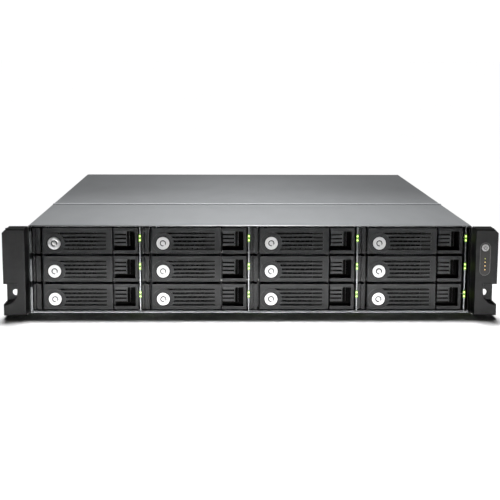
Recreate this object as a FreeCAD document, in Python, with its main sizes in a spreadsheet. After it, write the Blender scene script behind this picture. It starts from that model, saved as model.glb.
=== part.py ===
import FreeCAD, Part
import os
import Sketcher
from types import SimpleNamespace

# A 2U rack-mount network storage unit with twelve lockable 3.5 inch drive trays.
# Frame: +X to the right seen from the front, +Y to the back, +Z up, millimetres.
# The origin is under the middle of the whole unit, on its floor sheet.
# Sub-parts are drawn from the chassis front edge (y = 0) and the floor (z = 0), then moved
# back by front_y. Trays, levers and locks are drawn from a tray's own front lower left corner.

V = FreeCAD.Vector
doc = FreeCAD.newDocument("network_storage")

DIMENSIONS = [
    # alias, value in mm, what it is
    ("chassis_wide", 439, "chassis across the rack"),
    ("chassis_deep", 520, "chassis front edge to rear panel"),
    ("chassis_tall", 88, "floor to the top of the front cover"),
    ("ear_reach", 29, "ear caps in front of the chassis"),
    ("handle_reach", 25, "supply handles behind the rear panel"),
    ("sheet", 1.2, "walls and covers"),
    ("floor_sheet", 1.5, "chassis floor"),
    ("seam", 173, "front edge of the rear lid"),
    ("seam_rib_tall", 0.8, "raised front edge of the rear lid"),
    ("seam_rib_wide", 5, "raised front edge, front to back"),
    ("lip_tall", 1.3, "rolled front lip of the front cover"),
    ("bend", 1, "outside radius of that lip"),
    ("rack_wide", 482.6, "overall width of a 19 inch rack panel"),
    ("rack_hole_span", 465.1, "rack holes, left to right"),
    ("rack_hole_rise", 22.2, "rack holes above the floor"),
    ("rack_hole_radius", 3.2, "rack screw clearance"),
    ("flange_reach", 8, "rack flange in front of the chassis"),
    ("bracket_sheet", 2, "rack bracket"),
    ("cap_low", 2.9, "ear cap lower edge"),
    ("cap_high", 88.4, "ear cap top"),
    ("cap_foot_top", 14, "top of the ear cap's lower block"),
    ("cap_notch_top", 34, "upper edge of the cut-out at the rack hole"),
    ("cap_column", 8.2, "width of the cap beside the cut-out"),
    ("cap_bevel", 4, "outer top corner of the cap"),
    ("cap_wall", 2, "ear cap shell"),
    ("tray_wide", 104.7, "tray bezel"),
    ("tray_tall", 25.6, "tray bezel"),
    ("tray_long", 165, "tray front to back"),
    ("tray_step_x", 108.3, "column pitch"),
    ("tray_step_z", 28.4, "row pitch"),
    ("tray_left", -216.9, "left edge of the first column"),
    ("tray_low", 2, "lower edge of the bottom row"),
    ("tray_back", 6, "tray face behind the chassis front edge"),
    ("bezel_deep", 16, "tray bezel, front to back"),
    ("ridge_wide", 7.3, "left post of the bezel"),
    ("lever_left", 9, "lever's left edge on the tray"),
    ("lever_wide", 69.8, "lever"),
    ("lever_skin", 1.4, "lever face"),
    ("lever_deep", 7, "lever returns"),
    ("pivot_in", 3.2, "pivot from the lever's left edge and behind its face"),
    ("pin_radius", 1, "hinge pin"),
    ("lug_radius", 1.6, "lugs that hold the pin"),
    ("lug_tall", 3.1, "each lug"),
    ("lug_inset", 0.8, "lugs from the tray's top and bottom"),
    ("lock_in", 12.2, "lock centre from the lever's left edge"),
    ("lock_rise", 10.5, "lock centre above the tray's lower edge"),
    ("lock_radius", 6.4, "lock plug"),
    ("ring_radius", 7.3, "sunk ring around the lock"),
    ("boss_radius", 10.7, "raised disc around the lock"),
    ("slot_tall", 1.9, "grille slots"),
    ("slot_step", 3.95, "grille slot pitch"),
    ("slot_low", 4.5, "lowest slot above the tray's lower edge"),
    ("slot_right", 54, "open slots end, from the lever's left edge"),
    ("groove_right", 64, "shallow grooves end"),
    ("recess_left", 80.4, "finger recess on the tray"),
    ("recess_right", 101.7, "finger recess on the tray"),
    ("recess_low", 3.2, "finger recess"),
    ("recess_high", 22.4, "finger recess"),
    ("recess_deep", 13, "finger recess"),
    ("drive_wide", 101.6, "3.5 inch disk drive"),
    ("drive_long", 147, "3.5 inch disk drive"),
    ("drive_tall", 26.1, "3.5 inch disk drive"),
    ("pipe_offset", 2.2, "light pipe centre from the tray's right edge"),
    ("pipe_wide", 2.2, "light pipe head"),
    ("pipe_front", 0.8, "light pipe head behind the chassis front edge"),
    ("divider_sheet", 1, "cage dividers"),
    ("cage_back", 181.2, "rear face of the drive cage"),
    ("fan_size", 80, "fan housing"),
    ("fan_deep", 38, "fan housing"),
    ("fan_bore", 38, "fan air way radius"),
    ("fan_step", 132, "fan pitch"),
    ("wall_y", 196, "fan wall"),
    ("supply_wide", 73.5, "power supply"),
    ("supply_tall", 40, "power supply"),
    ("supply_long", 185, "power supply"),
    ("supply_left", 136, "power supply left edge"),
    ("supply_low", 2.6, "lower power supply"),
    ("supply_step", 41.4, "power supply pitch"),
    ("board_rise", 8, "main board above the outside of the floor"),
    ("board_thick", 1.6, "circuit boards"),
    ("button_radius", 3.45, "power button"),
    ("panel_x", 228.6, "middle of the status panel"),
    ("button_rise", 70.2, "power button above the floor"),
    ("panel_low", 42.7, "status panel"),
    ("panel_high", 75.4, "status panel"),
    ("panel_half", 5.2, "half width and end radius of the status panel"),
    ("fit", 0.05, "radial running clearance"),
]

COLUMNS = 4
ROWS = 3
SLOTS = 5
FANS = 3
BLADES = 7


class Size:
    """A number together with the spreadsheet expression that gives it."""

    def __init__(self, value, text):
        self.value = float(value)
        self.text = text

    def __add__(self, other):
        other = size(other)
        return Size(self.value + other.value, f"({self.text} + {other.text})")

    def __sub__(self, other):
        other = size(other)
        return Size(self.value - other.value, f"({self.text} - {other.text})")

    def __mul__(self, other):
        other = size(other)
        return Size(self.value * other.value, f"({self.text} * {other.text})")

    def __truediv__(self, other):
        other = size(other)
        return Size(self.value / other.value, f"({self.text} / {other.text})")

    def __radd__(self, other):
        return size(other) + self

    def __rsub__(self, other):
        return size(other) - self

    def __rmul__(self, other):
        return size(other) * self

    def __neg__(self):
        return Size(-self.value, f"(0 - {self.text})")


def size(number):
    return number if isinstance(number, Size) else Size(number, repr(float(number)))


def make_sheet():
    """Put every driving dimension in the spreadsheet and return them by name."""
    sheet = doc.addObject("Spreadsheet::Sheet", "dim")
    sizes = {}
    for row, (alias, value, note) in enumerate(DIMENSIONS, start=1):
        sheet.set(f"A{row}", note)
        sheet.set(f"B{row}", str(value))
        sheet.setAlias(f"B{row}", alias)
        sizes[alias] = Size(value, f"dim.{alias}")
    doc.recompute()
    return SimpleNamespace(**sizes)


d = make_sheet()
half_wide = d.chassis_wide / 2
inner_half = half_wide - d.sheet
cover_low = d.chassis_tall - d.sheet
front_y = (d.ear_reach - d.handle_reach - d.chassis_deep) / 2
rack_half = d.rack_wide / 2


# ---------------------------------------------------------------- small helpers


def bind(obj, **sizes):
    """Tie properties of an object to the sheet."""
    for prop, value in sizes.items():
        obj.setExpression(prop, size(value).text)


def place(obj, x, y, z):
    for axis, value in zip("xyz", (x, y, z)):
        value = size(value)
        if value.value or isinstance(value, Size):
            obj.setExpression(f"Placement.Base.{axis}", value.text)
    return obj


def box(name, low, high):
    """Part box from its lowest to its highest corner."""
    obj = doc.addObject("Part::Box", name)
    spans = [size(b) - size(a) for a, b in zip(low, high)]
    bind(obj, Length=spans[0], Width=spans[1], Height=spans[2])
    return place(obj, *low)


AXIS_TURN = {
    "x": FreeCAD.Rotation(V(0, 1, 0), 90),
    "y": FreeCAD.Rotation(V(1, 0, 0), -90),
    "z": FreeCAD.Rotation(),
}


def cylinder(name, start, axis, radius, length):
    """Part cylinder that runs from start along +axis."""
    obj = doc.addObject("Part::Cylinder", name)
    obj.Placement = FreeCAD.Placement(V(0, 0, 0), AXIS_TURN[axis])
    bind(obj, Radius=radius, Height=length)
    return place(obj, *start)


def join(name, *shapes):
    obj = doc.addObject("Part::MultiFuse", name)
    obj.Shapes = list(shapes)
    obj.Refine = True
    return obj


def cut(name, base, *tools):
    obj = doc.addObject("Part::Cut", name)
    obj.Base = base
    obj.Tool = tools[0] if len(tools) == 1 else join(name + "_tools", *tools)
    return obj


def group(name, *shapes):
    """Several separate solids that make one named node."""
    obj = doc.addObject("Part::Compound", name)
    obj.Links = list(shapes)
    return obj


def stand(obj, label):
    """Name a finished sub-part and move it from the chassis front edge to its place."""
    obj.Label = label
    return place(obj, 0, front_y, 0)


def new_body(label):
    body = doc.addObject("PartDesign::Body", label)
    body.Label = label
    return body


def sketch_on(body, role, name, offset=0):
    """Sketch on one of the body's own origin planes."""
    plane = [f for f in body.Origin.OriginFeatures if f.Role == role][0]
    sketch = body.newObject("Sketcher::SketchObject", name)
    sketch.AttachmentSupport = (plane, [""])
    sketch.MapMode = "FlatFace"
    sketch.setExpression("AttachmentOffset.Base.z", size(offset).text)
    return sketch


def pin(sketch, geometry, point, x, y):
    """Fix one point of a sketch to the sheet."""
    for kind, value, axis in (("DistanceX", x, -2), ("DistanceY", y, -1)):
        if value.value == 0:
            sketch.addConstraint(
                Sketcher.Constraint("PointOnObject", geometry, point, axis))
            continue
        index = sketch.addConstraint(
            Sketcher.Constraint(kind, -1, 1, geometry, point, value.value))
        sketch.setExpression(f"Constraints[{index}]", value.text)


def outline(sketch, corners):
    """Closed outline of straight edges with every corner pinned."""
    corners = [(size(x), size(y)) for x, y in corners]
    first = sketch.GeometryCount
    count = len(corners)
    for i, (x, y) in enumerate(corners):
        nx, ny = corners[(i + 1) % count]
        start = V(x.value, y.value, 0)
        end = V(nx.value, ny.value, 0)
        sketch.addGeometry(Part.LineSegment(start, end), False)
    for i, (x, y) in enumerate(corners):
        before = first + (i - 1) % count
        sketch.addConstraint(Sketcher.Constraint("Coincident", before, 2, first + i, 1))
        pin(sketch, first + i, 1, x, y)


def rectangle(sketch, x0, y0, x1, y1):
    outline(sketch, [(x0, y0), (x1, y0), (x1, y1), (x0, y1)])


def circle(sketch, x, y, radius):
    x, y, radius = size(x), size(y), size(radius)
    index = sketch.addGeometry(
        Part.Circle(V(x.value, y.value, 0), V(0, 0, 1), radius.value), False)
    pin(sketch, index, 3, x, y)
    constraint = sketch.addConstraint(Sketcher.Constraint("Radius", index, radius.value))
    sketch.setExpression(f"Constraints[{constraint}]", radius.text)


def pad(body, sketch, name, length, reverse=False, midplane=False):
    feature = body.newObject("PartDesign::Pad", name)
    feature.Profile = sketch
    bind(feature, Length=length)
    feature.Reversed = reverse
    feature.Midplane = midplane
    return feature


def pocket(body, sketch, name, length, reverse=False, midplane=False):
    feature = body.newObject("PartDesign::Pocket", name)
    feature.Profile = sketch
    bind(feature, Length=length)
    feature.Reversed = reverse
    feature.Midplane = midplane
    return feature


def round_edges(body, base, name, radius, wanted):
    """Fillet the edges whose middle point the test accepts."""
    doc.recompute()
    names = []
    for number, edge in enumerate(base.Shape.Edges, start=1):
        middle = edge.valueAt((edge.FirstParameter + edge.LastParameter) / 2)
        if wanted(middle, edge):
            names.append(f"Edge{number}")
    feature = body.newObject("PartDesign::Fillet", name)
    feature.Base = (base, names)
    bind(feature, Radius=radius)
    return feature


def near(a, b):
    return abs(a - b) < 0.01


def copy_of(master, label, x, y, z):
    """A further piece of the same shape, with its own label and placement."""
    body = new_body(label)
    clone = body.newObject("PartDesign::FeatureBase", label + "_shape")
    clone.BaseFeature = master
    body.Tip = clone
    return place(body, x, y, z)


def tray_places():
    """Number, left edge and lower edge of every tray, from the top left, row by row."""
    number = 0
    for row in range(ROWS):
        for column in range(COLUMNS):
            number += 1
            x = d.tray_left + column * d.tray_step_x
            z = d.tray_low + (ROWS - 1 - row) * d.tray_step_z
            yield number, x, z


# ---------------------------------------------------------------- chassis


def base_pan():
    """Floor and side walls, one bent sheet, with the holes for its screws."""
    body = new_body("base_pan")
    profile = sketch_on(body, "XZ_Plane", "pan_profile")
    outline(profile, [
        (-half_wide, 0), (half_wide, 0), (half_wide, cover_low), (inner_half, cover_low),
        (inner_half, d.floor_sheet), (-inner_half, d.floor_sheet),
        (-inner_half, cover_low), (-half_wide, cover_low)])
    pad(body, profile, "pan_sheet", d.chassis_deep, reverse=True)
    heads = sketch_on(body, "YZ_Plane", "lid_screw_holes")
    for y in LID_SCREW_Y:
        circle(heads, y, LID_SCREW_Z, SCREW_HEAD + d.fit)
    pocket(body, heads, "lid_holes", d.chassis_wide + 2, midplane=True)
    threads = sketch_on(body, "YZ_Plane", "bracket_screw_holes")
    for y, z in BRACKET_SCREWS:
        circle(threads, y, z, SCREW_THREAD + d.fit)
    pocket(body, threads, "bracket_holes", d.chassis_wide + 2, midplane=True)
    rails = sketch_on(body, "YZ_Plane", "rail_screw_holes")
    for y in RAIL_HOLE_Y:
        circle(rails, y, RAIL_HOLE_Z, RAIL_HOLE_RADIUS)
    body.Tip = pocket(body, rails, "rail_holes", d.chassis_wide + 2, midplane=True)
    return stand(body, "base_pan")


LID_SCREW_Y = (262, 385, 500)
LID_SCREW_Z = 80
BRACKET_SCREWS = ((14, 20), (34, 44), (14, 68))
SCREW_HEAD = 2.9
SCREW_THREAD = 1.45
RAIL_HOLE_Y = (240, 470)
RAIL_HOLE_Z = 44
RAIL_HOLE_RADIUS = 2.1


def front_cover():
    """Fixed top sheet over the trays, with its front edge rolled down."""
    body = new_body("front_cover")
    profile = sketch_on(body, "YZ_Plane", "cover_profile")
    back = d.seam - 0.2
    outline(profile, [
        (0, d.chassis_tall - d.lip_tall), (d.sheet, d.chassis_tall - d.lip_tall),
        (d.sheet, cover_low), (back, cover_low), (back, d.chassis_tall),
        (0, d.chassis_tall)])
    base = pad(body, profile, "cover_sheet", d.chassis_wide, midplane=True)
    body.Tip = round_edges(
        body, base, "lip_bend", d.bend,
        lambda p, e: near(p.y, 0) and near(p.z, d.chassis_tall.value) and e.Length > 100)
    return stand(body, "front_cover")


def rear_cover():
    """Removable lid, its front edge raised over the front cover, with side flanges."""
    body = new_body("rear_cover")
    profile = sketch_on(body, "YZ_Plane", "lid_profile")
    rib_front = d.seam - d.seam_rib_wide / 2
    rib_back = d.seam + d.seam_rib_wide / 2
    rib_top = d.chassis_tall + d.seam_rib_tall
    outline(profile, [
        (d.seam, cover_low), (d.chassis_deep, cover_low), (d.chassis_deep, d.chassis_tall),
        (rib_back, d.chassis_tall), (rib_back, rib_top), (rib_front, rib_top),
        (rib_front, d.chassis_tall), (d.seam, d.chassis_tall)])
    pad(body, profile, "lid_sheet", d.chassis_wide, midplane=True)
    flanges = sketch_on(body, "XY_Plane", "lid_flanges", LID_FLANGE_LOW)
    for side in (-1, 1):
        rectangle(flanges, side * (inner_half - LID_FLANGE_GAP), LID_FLANGE_FRONT,
                  side * (inner_half - LID_FLANGE_GAP - 1), LID_FLANGE_BACK)
    pad(body, flanges, "lid_sides", cover_low - LID_FLANGE_LOW)
    holes = sketch_on(body, "YZ_Plane", "lid_threads")
    for y in LID_SCREW_Y:
        circle(holes, y, LID_SCREW_Z, SCREW_THREAD + d.fit)
    body.Tip = pocket(body, holes, "lid_tapped_holes", d.chassis_wide + 2, midplane=True)
    return stand(body, "rear_cover")


LID_FLANGE_LOW = 74
LID_FLANGE_GAP = 0.1
LID_FLANGE_FRONT = 245
LID_FLANGE_BACK = 512


def rear_panel():
    """Sheet across the back with windows for supplies, sockets, slots and air."""
    body = new_body("rear_panel")
    face = sketch_on(body, "XZ_Plane", "panel_face", -d.chassis_deep)
    rectangle(face, -inner_half, d.floor_sheet, inner_half, cover_low)
    left = d.supply_left - 1
    rectangle(face, left, d.supply_low - 0.4, left + d.supply_wide + 2,
              d.supply_low + d.supply_step + d.supply_tall + 0.6)
    rectangle(face, PORTS_LEFT, PORTS_LOW, PORTS_RIGHT, PORTS_HIGH)
    for slot in range(SLOT_COUNT):
        x = SLOT_FIRST_X + slot * SLOT_PITCH
        rectangle(face, x - SLOT_OPEN / 2, SLOT_LOW + 4, x + SLOT_OPEN / 2, SLOT_HIGH - 10)
    base = pad(body, face, "panel_sheet", d.sheet)
    doc.recompute()
    vent = sketch_on(body, "XZ_Plane", "vent_slot", -d.chassis_deep)
    rectangle(vent, VENT_LEFT, VENT_LOW, VENT_LEFT + VENT_WIDE, VENT_LOW + VENT_TALL)
    hole = pocket(body, vent, "vent_hole", d.sheet * 2, midplane=True)
    row = body.newObject("PartDesign::LinearPattern", "vent_row")
    row.Originals = [hole]
    row.Direction = (vent, ["H_Axis"])
    row.Length = (VENTS - 1) * VENT_STEP
    row.Occurrences = VENTS
    body.Tip = row
    return stand(body, "rear_panel"), base, hole


PORTS_LEFT = 20
PORTS_RIGHT = 124
PORTS_LOW = 9.6
PORTS_HIGH = 26
SLOT_COUNT = 3
SLOT_FIRST_X = -186
SLOT_PITCH = 20.3
SLOT_OPEN = 12
SLOT_LOW = 4
SLOT_HIGH = 83
VENT_LEFT = -122
VENT_LOW = 36
VENT_WIDE = 3
VENT_TALL = 44
VENTS = 40
VENT_STEP = 6


def slot_covers():
    """Blank steel strips over the expansion slots, each with a bent tab."""
    strips = []
    for slot in range(SLOT_COUNT):
        x = SLOT_FIRST_X + slot * SLOT_PITCH
        name = f"slot_strip_{slot + 1}"
        strip = box(name + "_face", (x - 9.2, d.chassis_deep, SLOT_LOW),
                    (x + 9.2, d.chassis_deep + 0.9, SLOT_HIGH))
        tab = box(name + "_tab", (x - 9.2, d.chassis_deep + 0.9, SLOT_HIGH - 0.9),
                  (x + 9.2, d.chassis_deep + 9, SLOT_HIGH))
        strips.append(join(name, strip, tab))
    return stand(group("slot_covers", *strips), "slot_covers")


def case_screws():
    """Countersunk screws of the lid and of the rack brackets."""
    screws = []
    depth = d.sheet
    for side in (-1, 1):
        tag = "left" if side < 0 else "right"
        wall_out = half_wide if side > 0 else -half_wide
        for number, y in enumerate(LID_SCREW_Y):
            head_x = wall_out - depth if side > 0 else wall_out
            head = cylinder(f"lid_head_{tag}_{number}", (head_x, y, LID_SCREW_Z), "x",
                            SCREW_HEAD, depth)
            shank_x = inner_half - 4 if side > 0 else -inner_half
            shank = cylinder(f"lid_shank_{tag}_{number}", (shank_x, y, LID_SCREW_Z), "x",
                             SCREW_THREAD, 4)
            screws.append(join(f"lid_screw_{tag}_{number}", head, shank))
        for number, (y, z) in enumerate(BRACKET_SCREWS):
            head_x = wall_out if side > 0 else wall_out - d.bracket_sheet
            head = cylinder(f"bracket_head_{tag}_{number}", (head_x, y, z), "x",
                            SCREW_HEAD, d.bracket_sheet)
            shank_x = wall_out - depth if side > 0 else wall_out
            shank = cylinder(f"bracket_shank_{tag}_{number}", (shank_x, y, z), "x",
                             SCREW_THREAD, depth)
            screws.append(join(f"bracket_screw_{tag}_{number}", head, shank))
    return stand(group("case_screws", *screws), "case_screws")


# ---------------------------------------------------------------- ears


def rack_bracket(side, label):
    """Bent steel angle on the chassis side with the rack hole in its flange."""
    body = new_body(label)
    profile = sketch_on(body, "XY_Plane", label + "_profile", BRACKET_LOW)
    inner = half_wide if side > 0 else -half_wide
    outer = rack_half if side > 0 else -rack_half
    leg = inner + side * d.bracket_sheet
    front = -d.flange_reach
    outline(profile, [
        (inner, front), (outer, front), (outer, front + d.bracket_sheet),
        (leg, front + d.bracket_sheet), (leg, BRACKET_BACK), (inner, BRACKET_BACK)])
    pad(body, profile, label + "_sheet", BRACKET_HIGH - BRACKET_LOW)
    hole = sketch_on(body, "XZ_Plane", label + "_rack_hole")
    circle(hole, side * d.rack_hole_span / 2, d.rack_hole_rise, d.rack_hole_radius)
    pocket(body, hole, label + "_hole", 40, midplane=True)
    screws = sketch_on(body, "YZ_Plane", label + "_screw_holes", side * half_wide)
    for y, z in BRACKET_SCREWS:
        circle(screws, y, z, SCREW_HEAD + d.fit)
    body.Tip = pocket(body, screws, label + "_screws", d.bracket_sheet * 3, midplane=True)
    return stand(body, label)


BRACKET_LOW = 3.2
BRACKET_HIGH = 86.4
BRACKET_BACK = 48


def ear_cap_shape(side, label):
    """Plastic cap on a rack flange: cut away around the rack hole, hollow behind."""
    inner = side * half_wide
    outer = side * rack_half
    column = side * (half_wide + d.cap_column)
    front = -d.ear_reach
    deep = d.ear_reach - d.flange_reach
    body = new_body(label + "_shell")
    profile = sketch_on(body, "XZ_Plane", label + "_face", d.flange_reach)
    outline(profile, [
        (inner, d.cap_low), (outer, d.cap_low), (outer, d.cap_foot_top),
        (column, d.cap_foot_top), (column, d.cap_notch_top), (outer, d.cap_notch_top),
        (outer, d.cap_high - d.cap_bevel), (outer - side * d.cap_bevel, d.cap_high),
        (inner, d.cap_high)])
    base = pad(body, profile, label + "_block", deep)
    swept = round_edges(
        body, base, label + "_sweep", SWEEP_RADIUS,
        lambda p, e: near(p.x, column.value) and near(p.z, d.cap_foot_top.value))
    round_edges(
        body, swept, label + "_front_edges", CAP_ROUND,
        lambda p, e: near(p.y, front.value) and not near(p.x, inner.value))
    hollow = sketch_on(body, "XZ_Plane", label + "_hollow", d.flange_reach)
    wall = d.cap_wall
    rectangle(hollow, inner + side * wall, d.cap_notch_top + wall,
              outer - side * (wall + 1), d.cap_high - d.cap_bevel - wall)
    body.Tip = pocket(body, hollow, label + "_inside", deep - wall, reverse=True)
    return body


SWEEP_RADIUS = 13
CAP_ROUND = 1.5


def left_ear_cap():
    """The left cap is plain."""
    return stand(ear_cap_shape(-1, "left_ear_cap"), "left_ear_cap")


def right_ear_cap():
    """The right cap also has a capsule-shaped recess and the button's bore."""
    shell = ear_cap_shape(1, "right_ear_cap")
    recess = capsule("panel_recess", d.panel_half, d.panel_low, d.panel_high, -0.5,
                     PANEL_SINK + 0.5)
    bore = cylinder("button_bore", (d.panel_x, -d.ear_reach - 1, d.button_rise), "y",
                    d.button_radius + d.fit, d.cap_wall + 2)
    windows = [
        cylinder(f"lamp_window_{n}", (d.panel_x, -d.ear_reach - 1, z), "y",
                 LAMP_RADIUS, d.cap_wall + 2)
        for n, z in enumerate(LAMP_RISES)]
    return stand(cut("right_ear_cap", shell, recess, bore, *windows), "right_ear_cap")


LAMP_RISES = (59.4, 56, 52.3, 48.6)
LAMP_RADIUS = 1.1
PANEL_SINK = 0.9


def capsule(name, half, low, high, front_in, thick):
    """Upright plate with round ends, front_in behind the ear cap's face."""
    y = -d.ear_reach + front_in
    middle = box(name + "_middle", (d.panel_x - half, y, low + half),
                 (d.panel_x + half, y + thick, high - half))
    lower = cylinder(name + "_lower", (d.panel_x, y, low + half), "y", half, thick)
    upper = cylinder(name + "_upper", (d.panel_x, y, high - half), "y", half, thick)
    return join(name, middle, lower, upper)


def status_panel():
    """Dark capsule with four lamp lenses, and the small circuit board behind it."""
    plate = capsule("panel_plate", d.panel_half - 0.1, d.panel_low + 0.1,
                    d.panel_high - 0.1, 0.4, PANEL_SINK - 0.4)
    holes = [cylinder("panel_button_hole", (d.panel_x, -d.ear_reach - 1, d.button_rise),
                      "y", d.button_radius + d.fit, 4)]
    lenses = []
    for number, z in enumerate(LAMP_RISES):
        holes.append(cylinder(f"panel_lamp_hole_{number}",
                              (d.panel_x, -d.ear_reach - 1, z), "y", LAMP_RADIUS, 4))
        lenses.append(cylinder(f"lamp_lens_{number}", (d.panel_x, -d.ear_reach + 0.1, z),
                               "y", LAMP_RADIUS - d.fit, 3.4))
    face = cut("panel_face", plate, *holes)
    inside_left = half_wide + d.cap_wall
    inside_right = rack_half - d.cap_wall - 1
    board = box("panel_board", (inside_left, PANEL_BOARD_Y, 38), (inside_right,
                PANEL_BOARD_Y + d.board_thick, 80))
    switch = box("panel_switch", (d.panel_x - 3, PANEL_BOARD_Y - 3, d.button_rise - 3),
                 (d.panel_x + 3, PANEL_BOARD_Y, d.button_rise + 3))
    return stand(group("status_panel", face, *lenses, join("panel_circuit", board, switch)),
                 "status_panel")


PANEL_BOARD_Y = -16


def power_button():
    """Round push button with a collar that keeps it in the cap."""
    stem = cylinder("button_stem", (d.panel_x, -d.ear_reach, d.button_rise), "y",
                    d.button_radius, 7)
    collar = cylinder("button_collar",
                      (d.panel_x, -d.ear_reach + d.cap_wall + 0.1, d.button_rise), "y",
                      d.button_radius + 1, 1)
    return stand(join("power_button", stem, collar), "power_button")


# ---------------------------------------------------------------- trays


def tray_shape():
    """Bezel with the left ridges and the finger recess, sled, release latch and drive."""
    tall, deep = d.tray_tall, d.bezel_deep
    back = box("bezel_back", (0, deep - 2, 0), (d.tray_wide, deep, tall))
    post = box("bezel_post", (0, 0, 0), (d.ridge_wide, deep, tall))
    right = box("bezel_right", (d.recess_left, 0, 0), (d.tray_wide, deep, tall))
    pivot_x = d.lever_left + d.pivot_in
    lug_pieces = []
    upper_lug = tall - d.lug_inset - d.lug_tall
    for tag, z in (("lower", d.lug_inset), ("upper", upper_lug)):
        lug_pieces.append(cylinder(f"lug_{tag}", (pivot_x, d.pivot_in, z), "z",
                                   d.lug_radius, d.lug_tall))
        lug_pieces.append(box(f"lug_arm_{tag}", (pivot_x - 1.5, d.pivot_in, z),
                              (pivot_x + 1.5, deep - 2, z + d.lug_tall)))
    hinge_pin = cylinder("hinge_pin", (pivot_x, d.pivot_in, d.lug_inset), "z",
                         d.pin_radius, tall - 2 * d.lug_inset)
    solid = join("bezel_solid", back, post, right, hinge_pin, *lug_pieces)
    groove = box("post_groove", (2, -1, -1), (3.6, 5, tall + 1))
    recess = box("finger_recess", (d.recess_left - 1, -1, d.recess_low),
                 (d.recess_right, d.recess_deep, d.recess_high))
    window = box("air_window", (24, deep - 4, 3), (70, deep + 1, 22))
    bezel = cut("bezel", solid, groove, recess, window)

    floor = box("sled_floor", (0, deep, 0), (d.tray_wide, d.tray_long, 0.5))
    opening = box("sled_opening", (20, deep + 24, -1), (85, d.tray_long - 24, 1))
    sled_floor = cut("sled_plate", floor, opening)
    rail = d.tray_wide - d.drive_wide - 0.1
    left_rail = box("sled_left", (0, deep, 0), (rail / 2, d.tray_long, 12))
    right_rail = box("sled_right", (d.tray_wide - rail / 2, deep, 0),
                     (d.tray_wide, d.tray_long, 12))
    sled = join("sled", sled_floor, left_rail, right_rail)

    return group("tray_shape", bezel, sled, release_latch(), disk_drive())


def release_latch():
    """Ribbed finger pad with a vertical roll along its right side."""
    left = d.recess_left + 0.6
    right = left + LATCH_WIDE
    body = box("latch_body", (left, 4, LATCH_LOW), (right, d.recess_deep, d.recess_high - 0.3))
    ribs = []
    for rib in range(LATCH_RIBS):
        z = d.recess_high - 0.3 - RIB_TALL - rib * RIB_STEP
        ribs.append(box(f"latch_rib_{rib}", (left, 2.2, z), (right, 4, z + RIB_TALL)))
    roll = cylinder("latch_roll", (right + ROLL_RADIUS - 0.6, 3.8, LATCH_LOW), "z",
                    ROLL_RADIUS, d.recess_high - 0.3 - LATCH_LOW)
    web = box("latch_web", (right - 1, 5, LATCH_LOW),
              (right + 1.4, d.recess_deep, d.recess_high - 0.3))
    return join("release_latch", body, roll, web, *ribs)


LATCH_WIDE = 12.2
LATCH_LOW = 7.2
LATCH_RIBS = 4
RIB_TALL = 2.3
RIB_STEP = 4.05
ROLL_RADIUS = 2


def disk_drive():
    """3.5 inch drive: cast base with its raised lid and the round motor plate."""
    left = (d.tray_wide - d.drive_wide) / 2
    front = d.bezel_deep + 2
    low = 0.5
    base = box("drive_base", (left, front, low),
               (left + d.drive_wide, front + d.drive_long, low + d.drive_tall - 1.2))
    lid = box("drive_lid", (left + 2, front + 2, low + d.drive_tall - 1.2),
              (left + d.drive_wide - 2, front + d.drive_long - 16, low + d.drive_tall))
    return join("disk_drive", base, lid)


def lever_shape():
    """Slotted lever face with the lock boss, hinge knuckle and stiffening returns."""
    tall = d.tray_tall
    left, right = d.lever_left, d.lever_left + d.lever_wide
    body = new_body("lever_face")
    profile = sketch_on(body, "XY_Plane", "lever_profile")
    outline(profile, [
        (left, 0), (right, 0), (right, d.lever_deep), (right - 1.5, d.lever_deep),
        (right - 1.5, d.lever_skin), (left, d.lever_skin)])
    base = pad(body, profile, "lever_sheet", tall)
    body.Tip = round_edges(
        body, base, "lever_left_edge", d.lever_skin - 0.1,
        lambda p, e: near(p.x, left.value) and near(p.y, 0))
    slots = []
    middle = left + d.lock_in
    for slot in range(SLOTS):
        z = d.slot_low + slot * d.slot_step - d.slot_tall / 2
        slots.append(box(f"slot_{slot}", (middle, -1, z),
                         (left + d.slot_right, 3, z + d.slot_tall)))
        slots.append(box(f"slot_tail_{slot}", (left + d.slot_right, -1, z),
                         (left + d.groove_right, 0.7, z + d.slot_tall)))
    slotted = cut("slotted_face", body, *slots)
    centre = (middle, d.lock_rise)
    disc = cylinder("boss_disc", (centre[0], -0.6, centre[1]), "y", d.boss_radius,
                    d.lever_skin + 0.6)
    limit = box("boss_limit", (left + 1, -2, 0), (right, 4, tall))
    boss = doc.addObject("Part::Common", "boss")
    boss.Base = disc
    boss.Tool = limit
    barrel = cylinder("lock_barrel", (centre[0], 0, centre[1]), "y", BARREL_RADIUS, BARREL_LONG)
    pivot_x = left + d.pivot_in
    knuckle_low = d.lug_inset + d.lug_tall + KNUCKLE_GAP
    knuckle_high = tall - knuckle_low
    knuckle = cylinder("knuckle", (pivot_x, d.pivot_in, knuckle_low), "z",
                       KNUCKLE_RADIUS, knuckle_high - knuckle_low)
    web = box("knuckle_web", (pivot_x - 2, d.lever_skin - 0.4, knuckle_low),
              (pivot_x + 3, d.pivot_in, knuckle_high))
    returns = [
        box(f"return_{tag}", (middle - 4, 0.4, z), (right, d.lever_deep - 1, z + 1.1))
        for tag, z in (("lower", 0), ("upper", tall - 1.1))]
    solid = join("lever_solid", slotted, boss, barrel, knuckle, web, *returns)
    bore = cylinder("lever_bore", (pivot_x, d.pivot_in, -1), "z", d.pin_radius + d.fit,
                    tall + 2)
    lock_bore = cylinder("lock_bore", (centre[0], -2, centre[1]), "y",
                         d.lock_radius + d.fit, BARREL_LONG + 4)
    ring = cylinder("lock_ring", (centre[0], -2, centre[1]), "y", d.ring_radius, 2.1)
    return cut("lever_shape", solid, bore, lock_bore, ring)


BARREL_RADIUS = 7.9
BARREL_LONG = 9
KNUCKLE_RADIUS = 2.4
KNUCKLE_GAP = 0.3


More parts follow.
